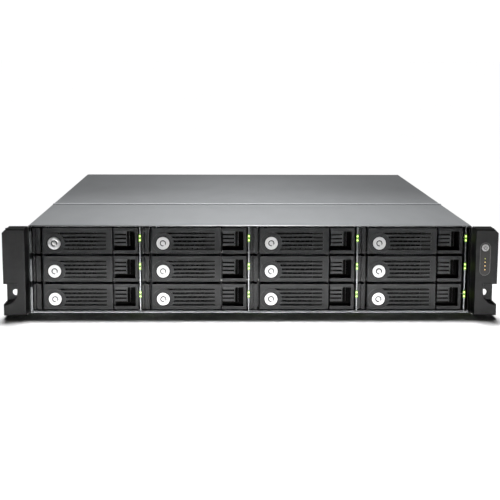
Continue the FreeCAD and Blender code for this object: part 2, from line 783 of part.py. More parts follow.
def lock_shape():
    """Round lock plug with a C-shaped tubular key groove and a cam on its back."""
    centre_x = d.lever_left + d.lock_in
    z = d.lock_rise
    plug = cylinder("lock_plug", (centre_x, -0.9, z), "y", d.lock_radius, BARREL_LONG + 1)
    cam = box("lock_cam", (centre_x - 2.5, BARREL_LONG + 0.1, z - 2.5),
              (centre_x + 2.5, BARREL_LONG + 1.1, z + 6.8))
    solid = join("lock_solid", plug, cam)
    outer = cylinder("key_groove_out", (centre_x, -2, z), "y", KEY_OUTER, 2.3)
    inner = cylinder("key_groove_in", (centre_x, -3, z), "y", KEY_INNER, 5)
    notch = box("key_notch", (centre_x + 0.6, -3, z - KEY_OUTER - 1),
                (centre_x + 2.2, 3, z - 0.8))
    groove = cut("key_groove", outer, inner, notch)
    return cut("lock_shape", solid, groove)


KEY_OUTER = 3.1
KEY_INNER = 2.1


# ---------------------------------------------------------------- drive bay


def divider_x(column):
    """Middle of the divider at the right of a column."""
    return d.tray_left + column * d.tray_step_x + d.tray_wide + d.pipe_offset


def drive_cage():
    """Upright dividers with ledges under the trays, tied by a windowed rear plate."""
    half = d.divider_sheet / 2
    low, high = d.floor_sheet, cover_low
    plates = [box("cage_left", (-inner_half, DIVIDER_FRONT, low),
                  (-inner_half + 0.8, d.cage_back, high))]
    ledges = []
    notches = []
    for column in range(COLUMNS):
        x = divider_x(column)
        left = d.tray_left + column * d.tray_step_x
        plates.append(box(f"divider_{column}", (x - half, DIVIDER_FRONT, low),
                          (x + half, d.cage_back, high)))
        for row in range(ROWS):
            z = d.tray_low + row * d.tray_step_z
            notches.append(box(f"pipe_notch_{column}_{row}",
                               (x - 2, 0, z + PIPE_LOW - 0.1),
                               (x + 2, PIPE_BACK + 0.1, z + PIPE_HIGH + 0.1)))
            if row == 0:
                continue
            ledge_z = z - LEDGE_DROP
            start = -inner_half if column == 0 else divider_x(column - 1)
            ledges.append(box(f"ledge_left_{column}_{row}", (start, LEDGE_FRONT, ledge_z),
                              (left + LEDGE_UNDER, d.cage_back, ledge_z + 1)))
            ledges.append(box(f"ledge_right_{column}_{row}",
                              (left + d.tray_wide - LEDGE_UNDER, LEDGE_FRONT, ledge_z),
                              (x, d.cage_back, ledge_z + 1)))
    rear = box("cage_rear", (-inner_half, d.cage_back - d.sheet, low),
               (divider_x(COLUMNS - 1) + half, d.cage_back, high))
    windows = []
    for number, x, z in tray_places():
        windows.append(box(f"cage_window_{number}", (x + 8, d.cage_back - 4, z + 3),
                           (x + d.tray_wide - 8, d.cage_back + 2, z + 23)))
    solid = join("cage_solid", rear, *plates, *ledges)
    return stand(cut("drive_cage", solid, *windows, *notches), "drive_cage")


DIVIDER_FRONT = 1
LEDGE_FRONT = 22
LEDGE_DROP = 1.6
LEDGE_UNDER = 1.2
PIPE_LOW = 12.6
PIPE_HIGH = 20.1
PIPE_BACK = 5


def light_pipes():
    """Clear heads with two round lamps beside each tray, and their bars to the backplane."""
    pipes = []
    for column in range(COLUMNS):
        x = divider_x(column)
        for row in range(ROWS):
            name = f"light_pipe_{column}_{row}"
            z = d.tray_low + row * d.tray_step_z
            head = box(name + "_head", (x - d.pipe_wide / 2, d.pipe_front, z + PIPE_LOW),
                       (x + d.pipe_wide / 2, PIPE_BACK, z + PIPE_HIGH))
            bar = box(name + "_bar", (x - d.pipe_wide / 2, PIPE_BACK - 1, z + PIPE_LOW + 2),
                      (x - d.divider_sheet / 2, d.cage_back - d.sheet, z + PIPE_LOW + 4))
            lamps = [
                cylinder(f"{name}_lamp_{n}", (x, d.pipe_front - 0.4, z + rise), "y", 0.75, 1)
                for n, rise in enumerate((14.3, 18.3))]
            pipes.append(join(name, head, bar, *lamps))
    return stand(group("light_pipes", *pipes), "light_pipes")


def backplane():
    """Board across the back of the cage with one connector for each drive."""
    front = d.cage_back
    board = box("backplane_sheet", (-212, front, 4), (212, front + 2, 84))
    slots = [box(f"backplane_slot_{n}", (-180 + n * 108.3, front - 1, 26.5),
                 (-150 + n * 108.3, front + 3, 31.5)) for n in range(COLUMNS)]
    pieces = [cut("backplane_board", board, *slots)]
    for number, x, z in tray_places():
        pieces.append(box(f"drive_connector_{number}", (x + 36, front - 9.6, z + 4),
                          (x + 78, front, z + 10)))
    return stand(group("backplane", *pieces), "backplane")


# ---------------------------------------------------------------- inside


def fan_x(number):
    return (number - (FANS - 1) / 2) * d.fan_step


def fan_wall():
    """Cross wall with three fan housings and their motor hubs."""
    middle_z = FAN_RISE
    front = d.wall_y
    housing_front = front + d.sheet
    housing_back = housing_front + d.fan_deep
    plate = box("wall_plate", (-inner_half, front, d.floor_sheet), (inner_half, housing_front, 86))
    solids = [plate]
    holes = []
    struts = []
    for number in range(FANS):
        x = fan_x(number)
        half = d.fan_size / 2
        solids.append(box(f"fan_housing_{number}", (x - half, housing_front, middle_z - half),
                          (x + half, housing_back, middle_z + half)))
        holes.append(cylinder(f"fan_bore_{number}", (x, front - 1, middle_z), "y",
                              d.fan_bore, d.fan_deep + 4))
        hub = cylinder(f"motor_hub_{number}", (x, housing_back - HUB_LONG, middle_z), "y",
                       HUB_RADIUS, HUB_LONG)
        bars = [
            box(f"strut_flat_{number}", (x - d.fan_bore - 0.5, housing_back - 4, middle_z - 2),
                (x + d.fan_bore + 0.5, housing_back, middle_z + 2)),
            box(f"strut_up_{number}", (x - 2, housing_back - 4, middle_z - d.fan_bore - 0.5),
                (x + 2, housing_back, middle_z + d.fan_bore + 0.5))]
        bearing = cylinder(f"bearing_{number}", (x, housing_back - HUB_LONG - 1, middle_z),
                           "y", SHAFT_RADIUS + d.fit, HUB_LONG - 1)
        struts.append(cut(f"motor_mount_{number}", join(f"motor_{number}", hub, *bars), bearing))
    walls = cut("wall_and_housings", join("wall_solid", *solids), *holes)
    return stand(join("fan_wall", walls, *struts), "fan_wall")


FAN_RISE = 44
HUB_RADIUS = 16
HUB_LONG = 9
SHAFT_RADIUS = 1.5


def rotor_shape():
    """Fan rotor: hub, twisted blades and the shaft that runs in the motor hub."""
    hub_back = d.wall_y + d.sheet + d.fan_deep - HUB_LONG - 0.5
    hub_front = d.wall_y + 5
    hub = cylinder("rotor_hub", (0, hub_front, 0), "y", HUB_RADIUS, hub_back - hub_front)
    shaft = cylinder("rotor_shaft", (0, hub_back - 1, 0), "y", SHAFT_RADIUS, HUB_LONG - 1)
    middle = (hub_front + hub_back) / 2
    blades = []
    for number in range(BLADES):
        blade = doc.addObject("Part::Box", f"blade_{number}")
        bind(blade, Length=BLADE_THICK, Width=BLADE_WIDE, Height=d.fan_bore - HUB_RADIUS)
        around = FreeCAD.Rotation(V(0, 1, 0), number * 360 / BLADES)
        twist = FreeCAD.Rotation(V(0, 0, 1), BLADE_TWIST)
        turn = around.multiply(twist)
        corner = turn.multVec(V(-BLADE_THICK / 2, -BLADE_WIDE / 2, HUB_RADIUS - 1.5))
        blade.Placement = FreeCAD.Placement(corner, turn)
        place(blade, corner.x, middle + corner.y, corner.z)
        blades.append(blade)
    return join("rotor_shape", hub, shaft, *blades)


BLADE_THICK = 1.6
BLADE_WIDE = 19
BLADE_TWIST = 38


def fan_rotor(master, number):
    return copy_of(master, f"fan_rotor_{number + 1}", fan_x(number), front_y, FAN_RISE)


def main_board():
    """Main board on stand-offs with heat sinks, memory, slots and small parts."""
    low = d.board_rise
    top = low + d.board_thick
    pieces = [box("board_sheet", (-212, BOARD_FRONT, low), (125, BOARD_BACK, top))]
    for n, x in enumerate((-200, -90, 20, 115)):
        for side, y in (("front", BOARD_FRONT + 10), ("back", BOARD_BACK - 10)):
            pieces.append(cylinder(f"stand_off_{side}_{n}", (x, y, d.floor_sheet), "z",
                                   2.5, low - d.floor_sheet))
    pieces.append(heat_sink("main_sink", -60, 330, 80, 78, 30, top))
    pieces.append(heat_sink("small_sink", 60, 400, 40, 38, 16, top))
    for n in range(4):
        y_low = 300
        x = -172 + n * 11
        pieces.append(box(f"memory_{n}", (x, y_low, top), (x + 5, y_low + 133, top + 32)))
    for n in range(SLOT_COUNT):
        x = SLOT_FIRST_X + n * SLOT_PITCH
        pieces.append(box(f"card_slot_{n}", (x - 4, 446, top), (x + 4, 500, top + 11)))
    return stand(group("main_board", *pieces), "main_board")


BOARD_FRONT = 262
BOARD_BACK = 506


def heat_sink(name, x, y, wide, long, tall, low):
    """Finned block, fins along the air stream."""
    base = box(name + "_base", (x - wide / 2, y - long / 2, low),
               (x + wide / 2, y + long / 2, low + 4))
    fins = []
    count = wide // 5
    for n in range(count):
        fin_x = x - wide / 2 + n * (wide - 1.2) / (count - 1)
        fins.append(box(f"{name}_fin_{n}", (fin_x, y - long / 2, low + 3.5),
                        (fin_x + 1.2, y + long / 2, low + tall)))
    return join(name, base, *fins)


def power_bay():
    """Sheet channel around the supplies and the distribution board in front of them."""
    wall_left = d.supply_left - 2.4
    wall_right = d.supply_left + d.supply_wide + 1.4
    shelf_low = d.supply_low + d.supply_tall + 0.3
    panel_front = d.chassis_deep - d.sheet
    left = box("bay_left", (wall_left, BAY_FRONT, d.floor_sheet),
               (wall_left + 1, panel_front, 86))
    right = box("bay_right", (wall_right, BAY_FRONT, d.floor_sheet),
                (wall_right + 1, panel_front, 86))
    shelf = box("bay_shelf", (wall_left, BAY_FRONT, shelf_low),
                (wall_right + 1, panel_front, shelf_low + 0.8))
    board = box("distribution_board", (wall_left + 1, BAY_FRONT - 2, 4),
                (wall_right, BAY_FRONT, 84))
    return stand(group("power_bay", join("bay_channel", left, right, shelf), board),
                 "power_bay")


BAY_FRONT = 322


def supply_shape():
    """Slide-in supply: sheet case, inlet, air grille, release tab and U handle."""
    wide, tall, long = d.supply_wide, d.supply_tall, d.supply_long
    skin = box("supply_skin", (0, 0, 0), (wide, long, tall))
    hollow = box("supply_hollow", (1, -1, 1), (wide - 1, long - 3, tall - 1))
    inlet = box("inlet_mouth", (5, long - 16, 8), (29, long + 1, 26))
    rings = [
        cylinder(f"grille_ring_{n}", (wide - 21, long - 4, tall / 2), "y", outer, 5)
        for n, outer in enumerate(GRILLE_OUTER)]
    cores = [
        cylinder(f"grille_core_{n}", (wide - 21, long - 5, tall / 2), "y", outer - 2, 7)
        for n, outer in enumerate(GRILLE_OUTER)]
    gaps = [cut(f"grille_gap_{n}", a, b) for n, (a, b) in enumerate(zip(rings, cores))]
    spokes = box("grille_spoke", (wide - 38, long - 6, tall / 2 - 1.2),
                 (wide - 4, long + 2, tall / 2 + 1.2))
    grille = cut("grille_openings", join("grille_gaps", *gaps), spokes)
    socket_block = box("inlet_block", (3.5, long - 18, 6.5), (30.5, long - 3, 27.5))
    case = cut("supply_case", join("supply_body", cut("supply_shell", skin, hollow),
                                   socket_block), inlet, grille)
    blades = [
        box(f"inlet_blade_{n}", (x, long - 16, 14), (x + 2, long - 3, 20))
        for n, x in enumerate((9.5, 16, 22.5))]
    grip_low, grip_high = 9, 31
    arms = [
        box(f"handle_arm_{n}", (32, long, z), (36, long + d.handle_reach, z + 4))
        for n, z in enumerate((grip_low - 4, grip_high))]
    bar = box("handle_bar", (32, long + d.handle_reach - 4, grip_low - 4),
              (36, long + d.handle_reach, grip_high + 4))
    handle = join("supply_handle", bar, *arms)
    tab = box("supply_tab", (wide - 4, long, 12), (wide - 2.4, long + 14, 28))
    board = box("supply_board", (1, 2, 5), (wide - 1, long - 20, 6.6))
    coil = box("supply_coil", (8, 30, 6.6), (34, 80, 29))
    capacitor = box("supply_capacitor", (44, 90, 6.6), (64, 125, 31))
    return group("supply_shape", join("supply_outside", case, *blades), handle, tab,
                 join("supply_circuit", board, coil, capacitor))


GRILLE_OUTER = (6, 10.5, 15)


def power_supply(master, number):
    y = front_y + d.chassis_deep - d.supply_long
    z = d.supply_low + number * d.supply_step
    return copy_of(master, f"psu_{number + 1}", d.supply_left, y, z)


def rear_ports():
    """Network and USB sockets in one shielded row, open towards the back."""
    low = d.board_rise + d.board_thick
    back = d.chassis_deep + 0.6
    pieces = []
    x = PORTS_LEFT + 1
    for n in range(4):
        block = box(f"network_block_{n}", (x, back - 21, low), (x + 16, back, low + 14))
        mouth = box(f"network_mouth_{n}", (x + 2, back - 14, low + 2),
                    (x + 14, back + 1, low + 11))
        pieces.append(cut(f"network_socket_{n}", block, mouth))
        x += 17
    x += 3
    for n in range(2):
        block = box(f"usb_block_{n}", (x, back - 16, low), (x + 14, back, low + 15.6))
        mouths = [
            box(f"usb_mouth_{n}_{m}", (x + 1, back - 12, z), (x + 13, back + 1, z + 5.4))
            for m, z in enumerate((low + 1.4, low + 8.8))]
        pieces.append(cut(f"usb_socket_{n}", block, *mouths))
        x += 15
    return stand(group("rear_ports", *pieces), "rear_ports")


# ---------------------------------------------------------------- the whole unit


def build():
    """Make every sub-part and return the finished ones."""
    panel, panel_base, panel_vents = rear_panel()
    finished = [
        base_pan(), front_cover(), rear_cover(), panel, slot_covers(), case_screws(),
        rack_bracket(-1, "left_rack_bracket"), rack_bracket(1, "right_rack_bracket"),
        left_ear_cap(), right_ear_cap(), status_panel(), power_button(),
        drive_cage(), light_pipes(), backplane(), fan_wall(), main_board(), power_bay(),
        rear_ports()]
    masters = {"tray": tray_shape(), "lever": lever_shape(), "lock": lock_shape()}
    for number, x, z in tray_places():
        for kind, master in masters.items():
            finished.append(copy_of(master, f"{kind}_{number:02d}", x,
                                    front_y + d.tray_back, z))
    rotor = rotor_shape()
    supply = supply_shape()
    for number in range(FANS):
        finished.append(fan_rotor(rotor, number))
    for number in range(2):
        finished.append(power_supply(supply, number))
    doc.recompute()
    if panel_vents.Shape.Volume >= panel_base.Shape.Volume:
        raise RuntimeError("the vents cut nothing")
    return finished


def check(finished):
    """Stop before writing anything if the document holds a failed or empty shape."""
    for obj in doc.Objects:
        if {"Invalid", "Error"} & set(obj.State):
            raise RuntimeError(f"{obj.Label} is {obj.State}")
    for obj in finished:
        if obj.Shape.isNull() or not obj.Shape.isValid() or not obj.Shape.Solids:
            raise RuntimeError(f"{obj.Label} has no sound shape")


def write(finished):
    os.makedirs("parts", exist_ok=True)
    for obj in finished:
        obj.Shape.exportStep(f"parts/{obj.Label}.step")
        box_ = obj.Shape.BoundBox
        print(f"{obj.Label}: {len(obj.Shape.Solids)} solids, {obj.Shape.Volume / 1000:.1f} cm3,"
              f" x {box_.XMin:.1f}..{box_.XMax:.1f} y {box_.YMin:.1f}..{box_.YMax:.1f}"
              f" z {box_.ZMin:.1f}..{box_.ZMax:.1f}")


sub_parts = build()
check(sub_parts)
write(sub_parts)
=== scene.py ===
"""Looks of a 2U rack-mount network storage unit with twelve drive trays."""

import math

import bmesh
import bpy
from mathutils import Matrix, Vector


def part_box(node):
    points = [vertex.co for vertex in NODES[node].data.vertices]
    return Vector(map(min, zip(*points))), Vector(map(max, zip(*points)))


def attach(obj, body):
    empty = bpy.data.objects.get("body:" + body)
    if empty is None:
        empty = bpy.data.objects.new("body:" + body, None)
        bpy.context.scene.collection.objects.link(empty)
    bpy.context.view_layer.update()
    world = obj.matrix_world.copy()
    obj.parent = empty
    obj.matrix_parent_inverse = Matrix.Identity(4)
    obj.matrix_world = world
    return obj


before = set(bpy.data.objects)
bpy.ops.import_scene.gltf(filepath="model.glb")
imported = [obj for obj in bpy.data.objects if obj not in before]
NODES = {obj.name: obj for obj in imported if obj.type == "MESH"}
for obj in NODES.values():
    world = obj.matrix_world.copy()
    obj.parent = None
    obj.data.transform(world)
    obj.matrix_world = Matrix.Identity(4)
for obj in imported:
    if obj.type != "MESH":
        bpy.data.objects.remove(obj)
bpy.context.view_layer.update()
MM = 0.001
COLUMNS, ROWS = 4, 3
LENS_WIDTH = 2.4  # wider than a status lens, narrower than the rest of its panel


def corners(node):
    """Lowest and highest corner of a CAD node, in millimetres."""
    return [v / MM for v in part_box(node)]


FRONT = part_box("base_pan")[0].y / MM
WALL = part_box("base_pan")[1].x / MM
BUTTON_LOW, BUTTON_HIGH = corners("power_button")
BUTTON = (BUTTON_LOW + BUTTON_HIGH) / 2

# ---------------------------------------------------------------- camera and studio

# metres, degrees, and the lamps' strengths
CAMERA_PLACE = (-0.02436, -1.45022, 0.25468)
CAMERA_PITCH, CAMERA_ROLL, CAMERA_YAW = 9.115, -0.198, -1.112
LENS = 87.34
SKY_POWER, SUN_POWER, KEY_POWER, TOP_POWER, POOL_POWER, LOW_POWER = 0.004, 4, 1.7, 0.17, 2, 0.16


def camera():
    data = bpy.data.cameras.new("camera")
    data.lens = LENS
    data.sensor_width = 36
    cam = bpy.data.objects.new("camera", data)
    cam.location = CAMERA_PLACE
    cam.rotation_euler = [math.radians(a) for a in (90 - CAMERA_PITCH, CAMERA_ROLL, CAMERA_YAW)]
    bpy.context.collection.objects.link(cam)
    bpy.context.scene.camera = cam


def lamp(name, kind, place, aim, power, size=(1, 1), angle=0, spread=180):
    data = bpy.data.lights.new(name, kind)
    data.energy = power
    if kind == "AREA":
        data.shape = "RECTANGLE"
        data.size, data.size_y = size
        data.spread = math.radians(spread)
    else:
        data.angle = math.radians(angle)
    obj = bpy.data.objects.new(name, data)
    obj.location = place
    obj.rotation_euler = (Vector(aim) - Vector(place)).to_track_quat("-Z", "Y").to_euler()
    bpy.context.collection.objects.link(obj)


def studio():
    world = bpy.data.worlds.new("studio")
    bpy.context.scene.world = world
    world.use_nodes = True
    nodes, links = world.node_tree.nodes, world.node_tree.links
    sky = nodes["Background"]
    sky.inputs["Color"].default_value = (0.96, 0.98, 1, 1)
    sky.inputs["Strength"].default_value = SKY_POWER
    seen = nodes.new("ShaderNodeBackground")
    seen.inputs["Color"].default_value = (1, 1, 1, 1)
    seen.inputs["Strength"].default_value = 1.2
    path = nodes.new("ShaderNodeLightPath")
    mix = nodes.new("ShaderNodeMixShader")
    links.new(path.outputs["Is Camera Ray"], mix.inputs[0])
    links.new(sky.outputs[0], mix.inputs[1])
    links.new(seen.outputs[0], mix.inputs[2])
    links.new(mix.outputs[0], nodes["World Output"].inputs[0])

    bm = bmesh.new()
    bmesh.ops.create_grid(bm, x_segments=4, y_segments=4, size=60)
    mesh = bpy.data.meshes.new("floor")
    bm.to_mesh(mesh)
    bm.free()
    floor = bpy.data.objects.new("floor", mesh)
    floor.location.z = -0.0002
    bpy.context.collection.objects.link(floor)
    mesh.materials.append(surface("floor_white", (0.91, 0.91, 0.91), (0.93, 0.93, 0.93),
                                  grain=3, rough=(0.85, 0.95), specular=0.1))

    lamp("sky_lamp", "SUN", (0, 1.12, 2), (0, 0, 0), SUN_POWER, angle=17)
    lamp("key_lamp", "AREA", (0, -0.03, 0.5), (0, -0.287, 0.088), KEY_POWER, size=(0.2, 0.08),
         spread=100)
    lamp("top_lamp", "AREA", (0, 0.12, 0.45), (0, 0.12, 0), TOP_POWER, size=(0.1, 0.1),
         spread=64)
    lamp("pool_lamp", "AREA", (0, -0.395, 0.5), (0, -0.395, 0), POOL_POWER, size=(1.1, 0.04),
         spread=14)
    lamp("low_lamp", "AREA", (0, -0.8, 0.0012), (0, 0, 0.0012), LOW_POWER, size=(1.1, 0.002),
         spread=13)
    bpy.context.scene.view_settings.view_transform = "Standard"


# ---------------------------------------------------------------- materials

def surface(name, dark, light, grain=30.0, rough=(0.4, 0.5), metal=0.0, specular=0.5,
            bump=0.0, fine=1500.0, stretch=(1, 1, 1), worn=None, wear=0.0, coat=0.0,
            glow=None, glow_power=0.0):
    """Procedural material: cloudy colour between two tones, grain in roughness and relief,
    and paler or brighter edges where hands and tools rub."""
    mat = bpy.data.materials.new(name)
    mat.use_nodes = True
    tree = mat.node_tree
    shader = tree.nodes["Principled BSDF"]

    def node(kind, **values):
        made = tree.nodes.new(kind)
        for key, value in values.items():
            if hasattr(made, key):
                setattr(made, key, value)
            else:
                made.inputs[key.replace("_", " ")].default_value = value
        return made

    def link(a, out, b, into):
        tree.links.new(a.outputs[out], b.inputs[into])

    coords = node("ShaderNodeTexCoord")
    place = node("ShaderNodeMapping")
    place.inputs["Scale"].default_value = stretch
    link(coords, "Object", place, "Vector")
    cloud = node("ShaderNodeTexNoise", Scale=grain, Detail=5, Roughness=0.6)
    link(place, "Vector", cloud, "Vector")
    speck = node("ShaderNodeTexNoise", Scale=fine, Detail=2, Roughness=0.5)
    link(place, "Vector", speck, "Vector")

    spread = node("ShaderNodeMapRange")
    spread.inputs["From Min"].default_value = 0.3
    spread.inputs["From Max"].default_value = 0.7
    link(cloud, "Fac", spread, "Value")
    tint = node("ShaderNodeMix", data_type="RGBA")
    tint.inputs[6].default_value = (*dark, 1)
    tint.inputs[7].default_value = (*light, 1)
    link(spread, "Result", tint, 0)
    colour = (tint, 2)
    if worn:
        bevel = node("ShaderNodeBevel", Radius=0.0007)
        bevel.samples = 4
        shape = node("ShaderNodeNewGeometry")
        dot = node("ShaderNodeVectorMath", operation="DOT_PRODUCT")
        link(bevel, "Normal", dot, 0)
        link(shape, "Normal", dot, 1)
        edge = node("ShaderNodeMapRange")
        edge.inputs["From Min"].default_value = 0.995
        edge.inputs["From Max"].default_value = 0.85
        edge.inputs["To Max"].default_value = wear
        link(dot, "Value", edge, "Value")
        patch = node("ShaderNodeMath", operation="MULTIPLY")
        link(edge, "Result", patch, 0)
        link(spread, "Result", patch, 1)
        rub = node("ShaderNodeMix", data_type="RGBA")
        rub.inputs[7].default_value = (*worn, 1)
        link(patch, "Value", rub, 0)
        link(tint, 2, rub, 6)
        colour = (rub, 2)
    link(colour[0], colour[1], shader, "Base Color")

    gloss = node("ShaderNodeMapRange")
    gloss.inputs["To Min"].default_value = rough[0]
    gloss.inputs["To Max"].default_value = rough[1]
    link(speck, "Fac", gloss, "Value")
    link(gloss, "Result", shader, "Roughness")
    if bump:
        relief = node("ShaderNodeBump", Distance=0.0002, Strength=bump)
        link(speck, "Fac", relief, "Height")
        link(relief, "Normal", shader, "Normal")
    shader.inputs["Metallic"].default_value = metal
    shader.inputs["Specular IOR Level"].default_value = specular
    shader.inputs["Coat Weight"].default_value = coat
    shader.inputs["Coat Roughness"].default_value = 0.15
    if glow:
        shader.inputs["Emission Color"].default_value = (*glow, 1)
        shader.inputs["Emission Strength"].default_value = glow_power
    return mat


def grey(low, high, tint=(1, 1, 1)):
    return tuple(low * t for t in tint), tuple(high * t for t in tint)


COOL = (0.97, 1.0, 1.03)
WARM = (1.03, 1.0, 0.95)
RUBBED = (0.30, 0.30, 0.31)
WORN_PLASTIC = (0.14, 0.14, 0.145)

M = {}


def materials():
    def add(name, tones, **more):
        M[name] = surface(name, *tones, **more)

    add("cover_zinc", grey(0.188, 0.207, COOL), grain=55, fine=2600, rough=(0.26, 0.34),
        metal=0.25, bump=0.12, stretch=(1, 0.35, 1), worn=(0.75, 0.75, 0.76), wear=0.5)
    # Darker copy of the cover's zinc for the rolled lip: painted shade.
    add("lip_shade_zinc", grey(0.10, 0.13, COOL), grain=55, fine=2600, rough=(0.36, 0.46),
        metal=0.25, bump=0.12)
    # Brighter copy of the cover's zinc for the lid's front step: painted highlight.
    add("seam_highlight_zinc", grey(0.42, 0.48, COOL), grain=55, fine=2600, rough=(0.26, 0.34),
        metal=0.25, bump=0.12)
    add("body_zinc", grey(0.22, 0.26, COOL), grain=95, fine=2200, rough=(0.38, 0.5),
        metal=0.8, bump=0.12, worn=(0.6, 0.6, 0.61), wear=0.4)
    add("cage_zinc", grey(0.13, 0.18, COOL), grain=80, fine=2200, rough=(0.28, 0.4),
        metal=1, bump=0.08)
    add("screw_zinc", grey(0.50, 0.66), grain=400, fine=3000, rough=(0.25, 0.38), metal=1)
    add("bracket_black", grey(0.012, 0.020), grain=120, fine=2400, specular=0.16,
        rough=(0.42, 0.6), bump=0.35, worn=RUBBED, wear=0.35)
    add("cap_black", grey(0.008, 0.012), grain=140, fine=1900, specular=0.16, rough=(0.42, 0.62),
        bump=0.5, worn=(0.10, 0.10, 0.105), wear=0.5)
    add("panel_gloss", grey(0.022, 0.030, WARM), grain=90, rough=(0.3, 0.4), specular=0.2)
    add("rim_grey", grey(0.05, 0.07, WARM), grain=200, rough=(0.3, 0.4), specular=0.4)
    add("button_silver", grey(0.22, 0.50), grain=500, fine=4000, rough=(0.25, 0.38), metal=1)
    for name in ("lever_plastic", "bezel_plastic"):
        add(name, grey(0.015, 0.021, COOL), grain=140, fine=2300, specular=0.16,
            rough=(0.30, 0.42), bump=0.3, worn=WORN_PLASTIC, wear=0.6)
    # Near-black for recesses, grooves, cross recesses, vents, air holes and faces behind other
    # parts: painted shade.
    add("recess_shade_black", grey(0.0015, 0.003), grain=140, fine=2300, rough=(0.6, 0.8), specular=0.05)
    add("latch_plastic", grey(0.028, 0.040, COOL), grain=200, fine=2300, specular=0.2,
        rough=(0.30, 0.44), bump=0.2, worn=WORN_PLASTIC, wear=0.5)
    # Lighter, glossier copy of the latch plastic for the latch's roll; the lighter tone is a
    # painted highlight.
    add("roll_highlight_plastic", grey(0.035, 0.050, COOL), grain=200, fine=2300, specular=0.5,
        rough=(0.22, 0.34), bump=0.1)
    add("lock_chrome", grey(0.42, 0.50), grain=700, fine=4000, rough=(0.40, 0.5), metal=1)
    # Dark for the lock's keyway: painted shade.
    add("keyway_shade_dark", grey(0.008, 0.014), grain=700, rough=(0.5, 0.6), specular=0.1)
    # Near-black for walls that no light reaches: painted shade.
    add("wall_shade_black", grey(0.002, 0.004), grain=140, rough=(0.45, 0.55), specular=0.05)
    add("cap_matte", grey(0.006, 0.010), grain=140, fine=1900, specular=0.02,
        rough=(0.7, 0.85), bump=0.5)
    # Darker zinc for the pan's front edge: painted shade.
    add("edge_shade_zinc", grey(0.10, 0.15, COOL), grain=300, fine=2200, rough=(0.3, 0.45), metal=1)
    # Dark for the lever's slot walls and tail floors, painted shade; also the plain dark collars
    # round the status lenses.
    add("groove_shade_and_collar_dark", grey(0.003, 0.006), grain=140, rough=(0.5, 0.6), specular=0.08)
    add("ink_dark", grey(0.02, 0.03), grain=300, rough=(0.4, 0.5), specular=0.2)
    # Paler zinc for the pan's rolled hem: painted highlight.
    add("hem_highlight_zinc", grey(0.26, 0.33, COOL), grain=200, fine=2600, rough=(0.34, 0.42),
        metal=1, bump=0.05)
    add("sticker", grey(0.40, 0.46), grain=60, fine=900, rough=(0.4, 0.5), metal=0.6)
    add("lamp_idle", grey(0.10, 0.16, (0.7, 1, 0.6)), grain=200, rough=(0.2, 0.3))
    # Near-black for the punched sheet: partly its black paint, partly painted shade in the lever's
    # slots.
    add("mesh_paint_and_shade", grey(0.006, 0.010), grain=300, rough=(0.4, 0.5), specular=0.12)
    add("pipe_clear", grey(0.10, 0.16, (0.8, 1, 0.75)), grain=200, rough=(0.12, 0.2), coat=0.4)
    add("lamp_green", grey(0.3, 0.4, (0.6, 1, 0.3)), grain=300, rough=(0.2, 0.3),
        glow=(0.72, 1.0, 0.22), glow_power=3.4)
    add("lamp_halo", grey(0.02, 0.04, (0.6, 1, 0.3)), grain=300, rough=(0.15, 0.25),
        glow=(0.2, 0.5, 0.02), glow_power=0.6)
    add("lamp_amber", grey(0.3, 0.4, (1, 0.7, 0.2)), grain=300, rough=(0.2, 0.3),
        glow=(1.0, 0.66, 0.3), glow_power=0.6)
    add("lamp_lime", grey(0.3, 0.4, (0.8, 1, 0.3)), grain=300, rough=(0.2, 0.3),
        glow=(0.85, 0.8, 0.3), glow_power=0.12)
    add("board_green", grey(0.012, 0.03, (0.4, 1.0, 0.5)), grain=320, fine=1200,
        rough=(0.3, 0.45), bump=0.1)
    add("connector_black", grey(0.010, 0.016), grain=200, fine=1500, rough=(0.35, 0.5))
    add("fan_black", grey(0.014, 0.022), grain=120, fine=1500, rough=(0.35, 0.5), bump=0.1)
    add("sink_alloy", grey(0.60, 0.72), grain=200, fine=1800, rough=(0.25, 0.4), metal=1,
        stretch=(6, 1, 1))
    add("supply_zinc", grey(0.22, 0.28, COOL), grain=70, fine=2200, rough=(0.32, 0.45),
        metal=1, bump=0.1, worn=(0.7, 0.7, 0.7), wear=0.5)
    add("handle_black", grey(0.016, 0.024), grain=120, fine=1900, rough=(0.4, 0.55),
        bump=0.4, worn=(0.1, 0.1, 0.1), wear=0.4)
    add("tab_green", grey(0.06, 0.11, (0.35, 1, 0.45)), grain=120, rough=(0.35, 0.5), bump=0.2)
    add("brass", grey(0.62, 0.72, (1.0, 0.78, 0.42)), grain=300, rough=(0.2, 0.35), metal=1)
    add("drive_cast", grey(0.25, 0.33), grain=160, fine=1400, rough=(0.4, 0.6), metal=1,
        bump=0.35)
    add("drive_lid", grey(0.28, 0.34), grain=90, fine=1800, rough=(0.25, 0.38), metal=1,
        stretch=(1, 8, 1))
    add("label_paper", grey(0.46, 0.52, WARM), grain=60, fine=900, rough=(0.55, 0.7))
    add("label_print", grey(0.10, 0.16), grain=60, fine=900, rough=(0.5, 0.65))
    add("insert_blue", grey(0.05, 0.08, (0.25, 0.5, 1.0)), grain=200, rough=(0.35, 0.5))


# ---------------------------------------------------------------- CAD nodes

SLACK = 0.06
FLAT = 0.01

# Places on a tray with its lever and lock, in millimetres from the tray's lowest corner.
LATCH = ((81, 2.2, 7.2), (97.3, 13, 22.1))
ROLL_LEFT = 92.4
PAD_FLOOR = 4
RECESS = ((79.4, -0.5, 3.2), (101.7, 13, 22.4))
BEZEL_BACK = 16
DRIVE = ((1.55, 18, 0.5), (103.15, 165, 26.6))
LID_UNDERSIDE = 25.3
LOCK_X, LOCK_Z = 21.2, 10.5
LOCK_BORE, KEY_REACH = 7.4, 3.2
SLOTS_LEFT, SLOTS_RIGHT, SLOTS_LOW, SLOTS_HIGH = 20, 73.2, 1, 24.6

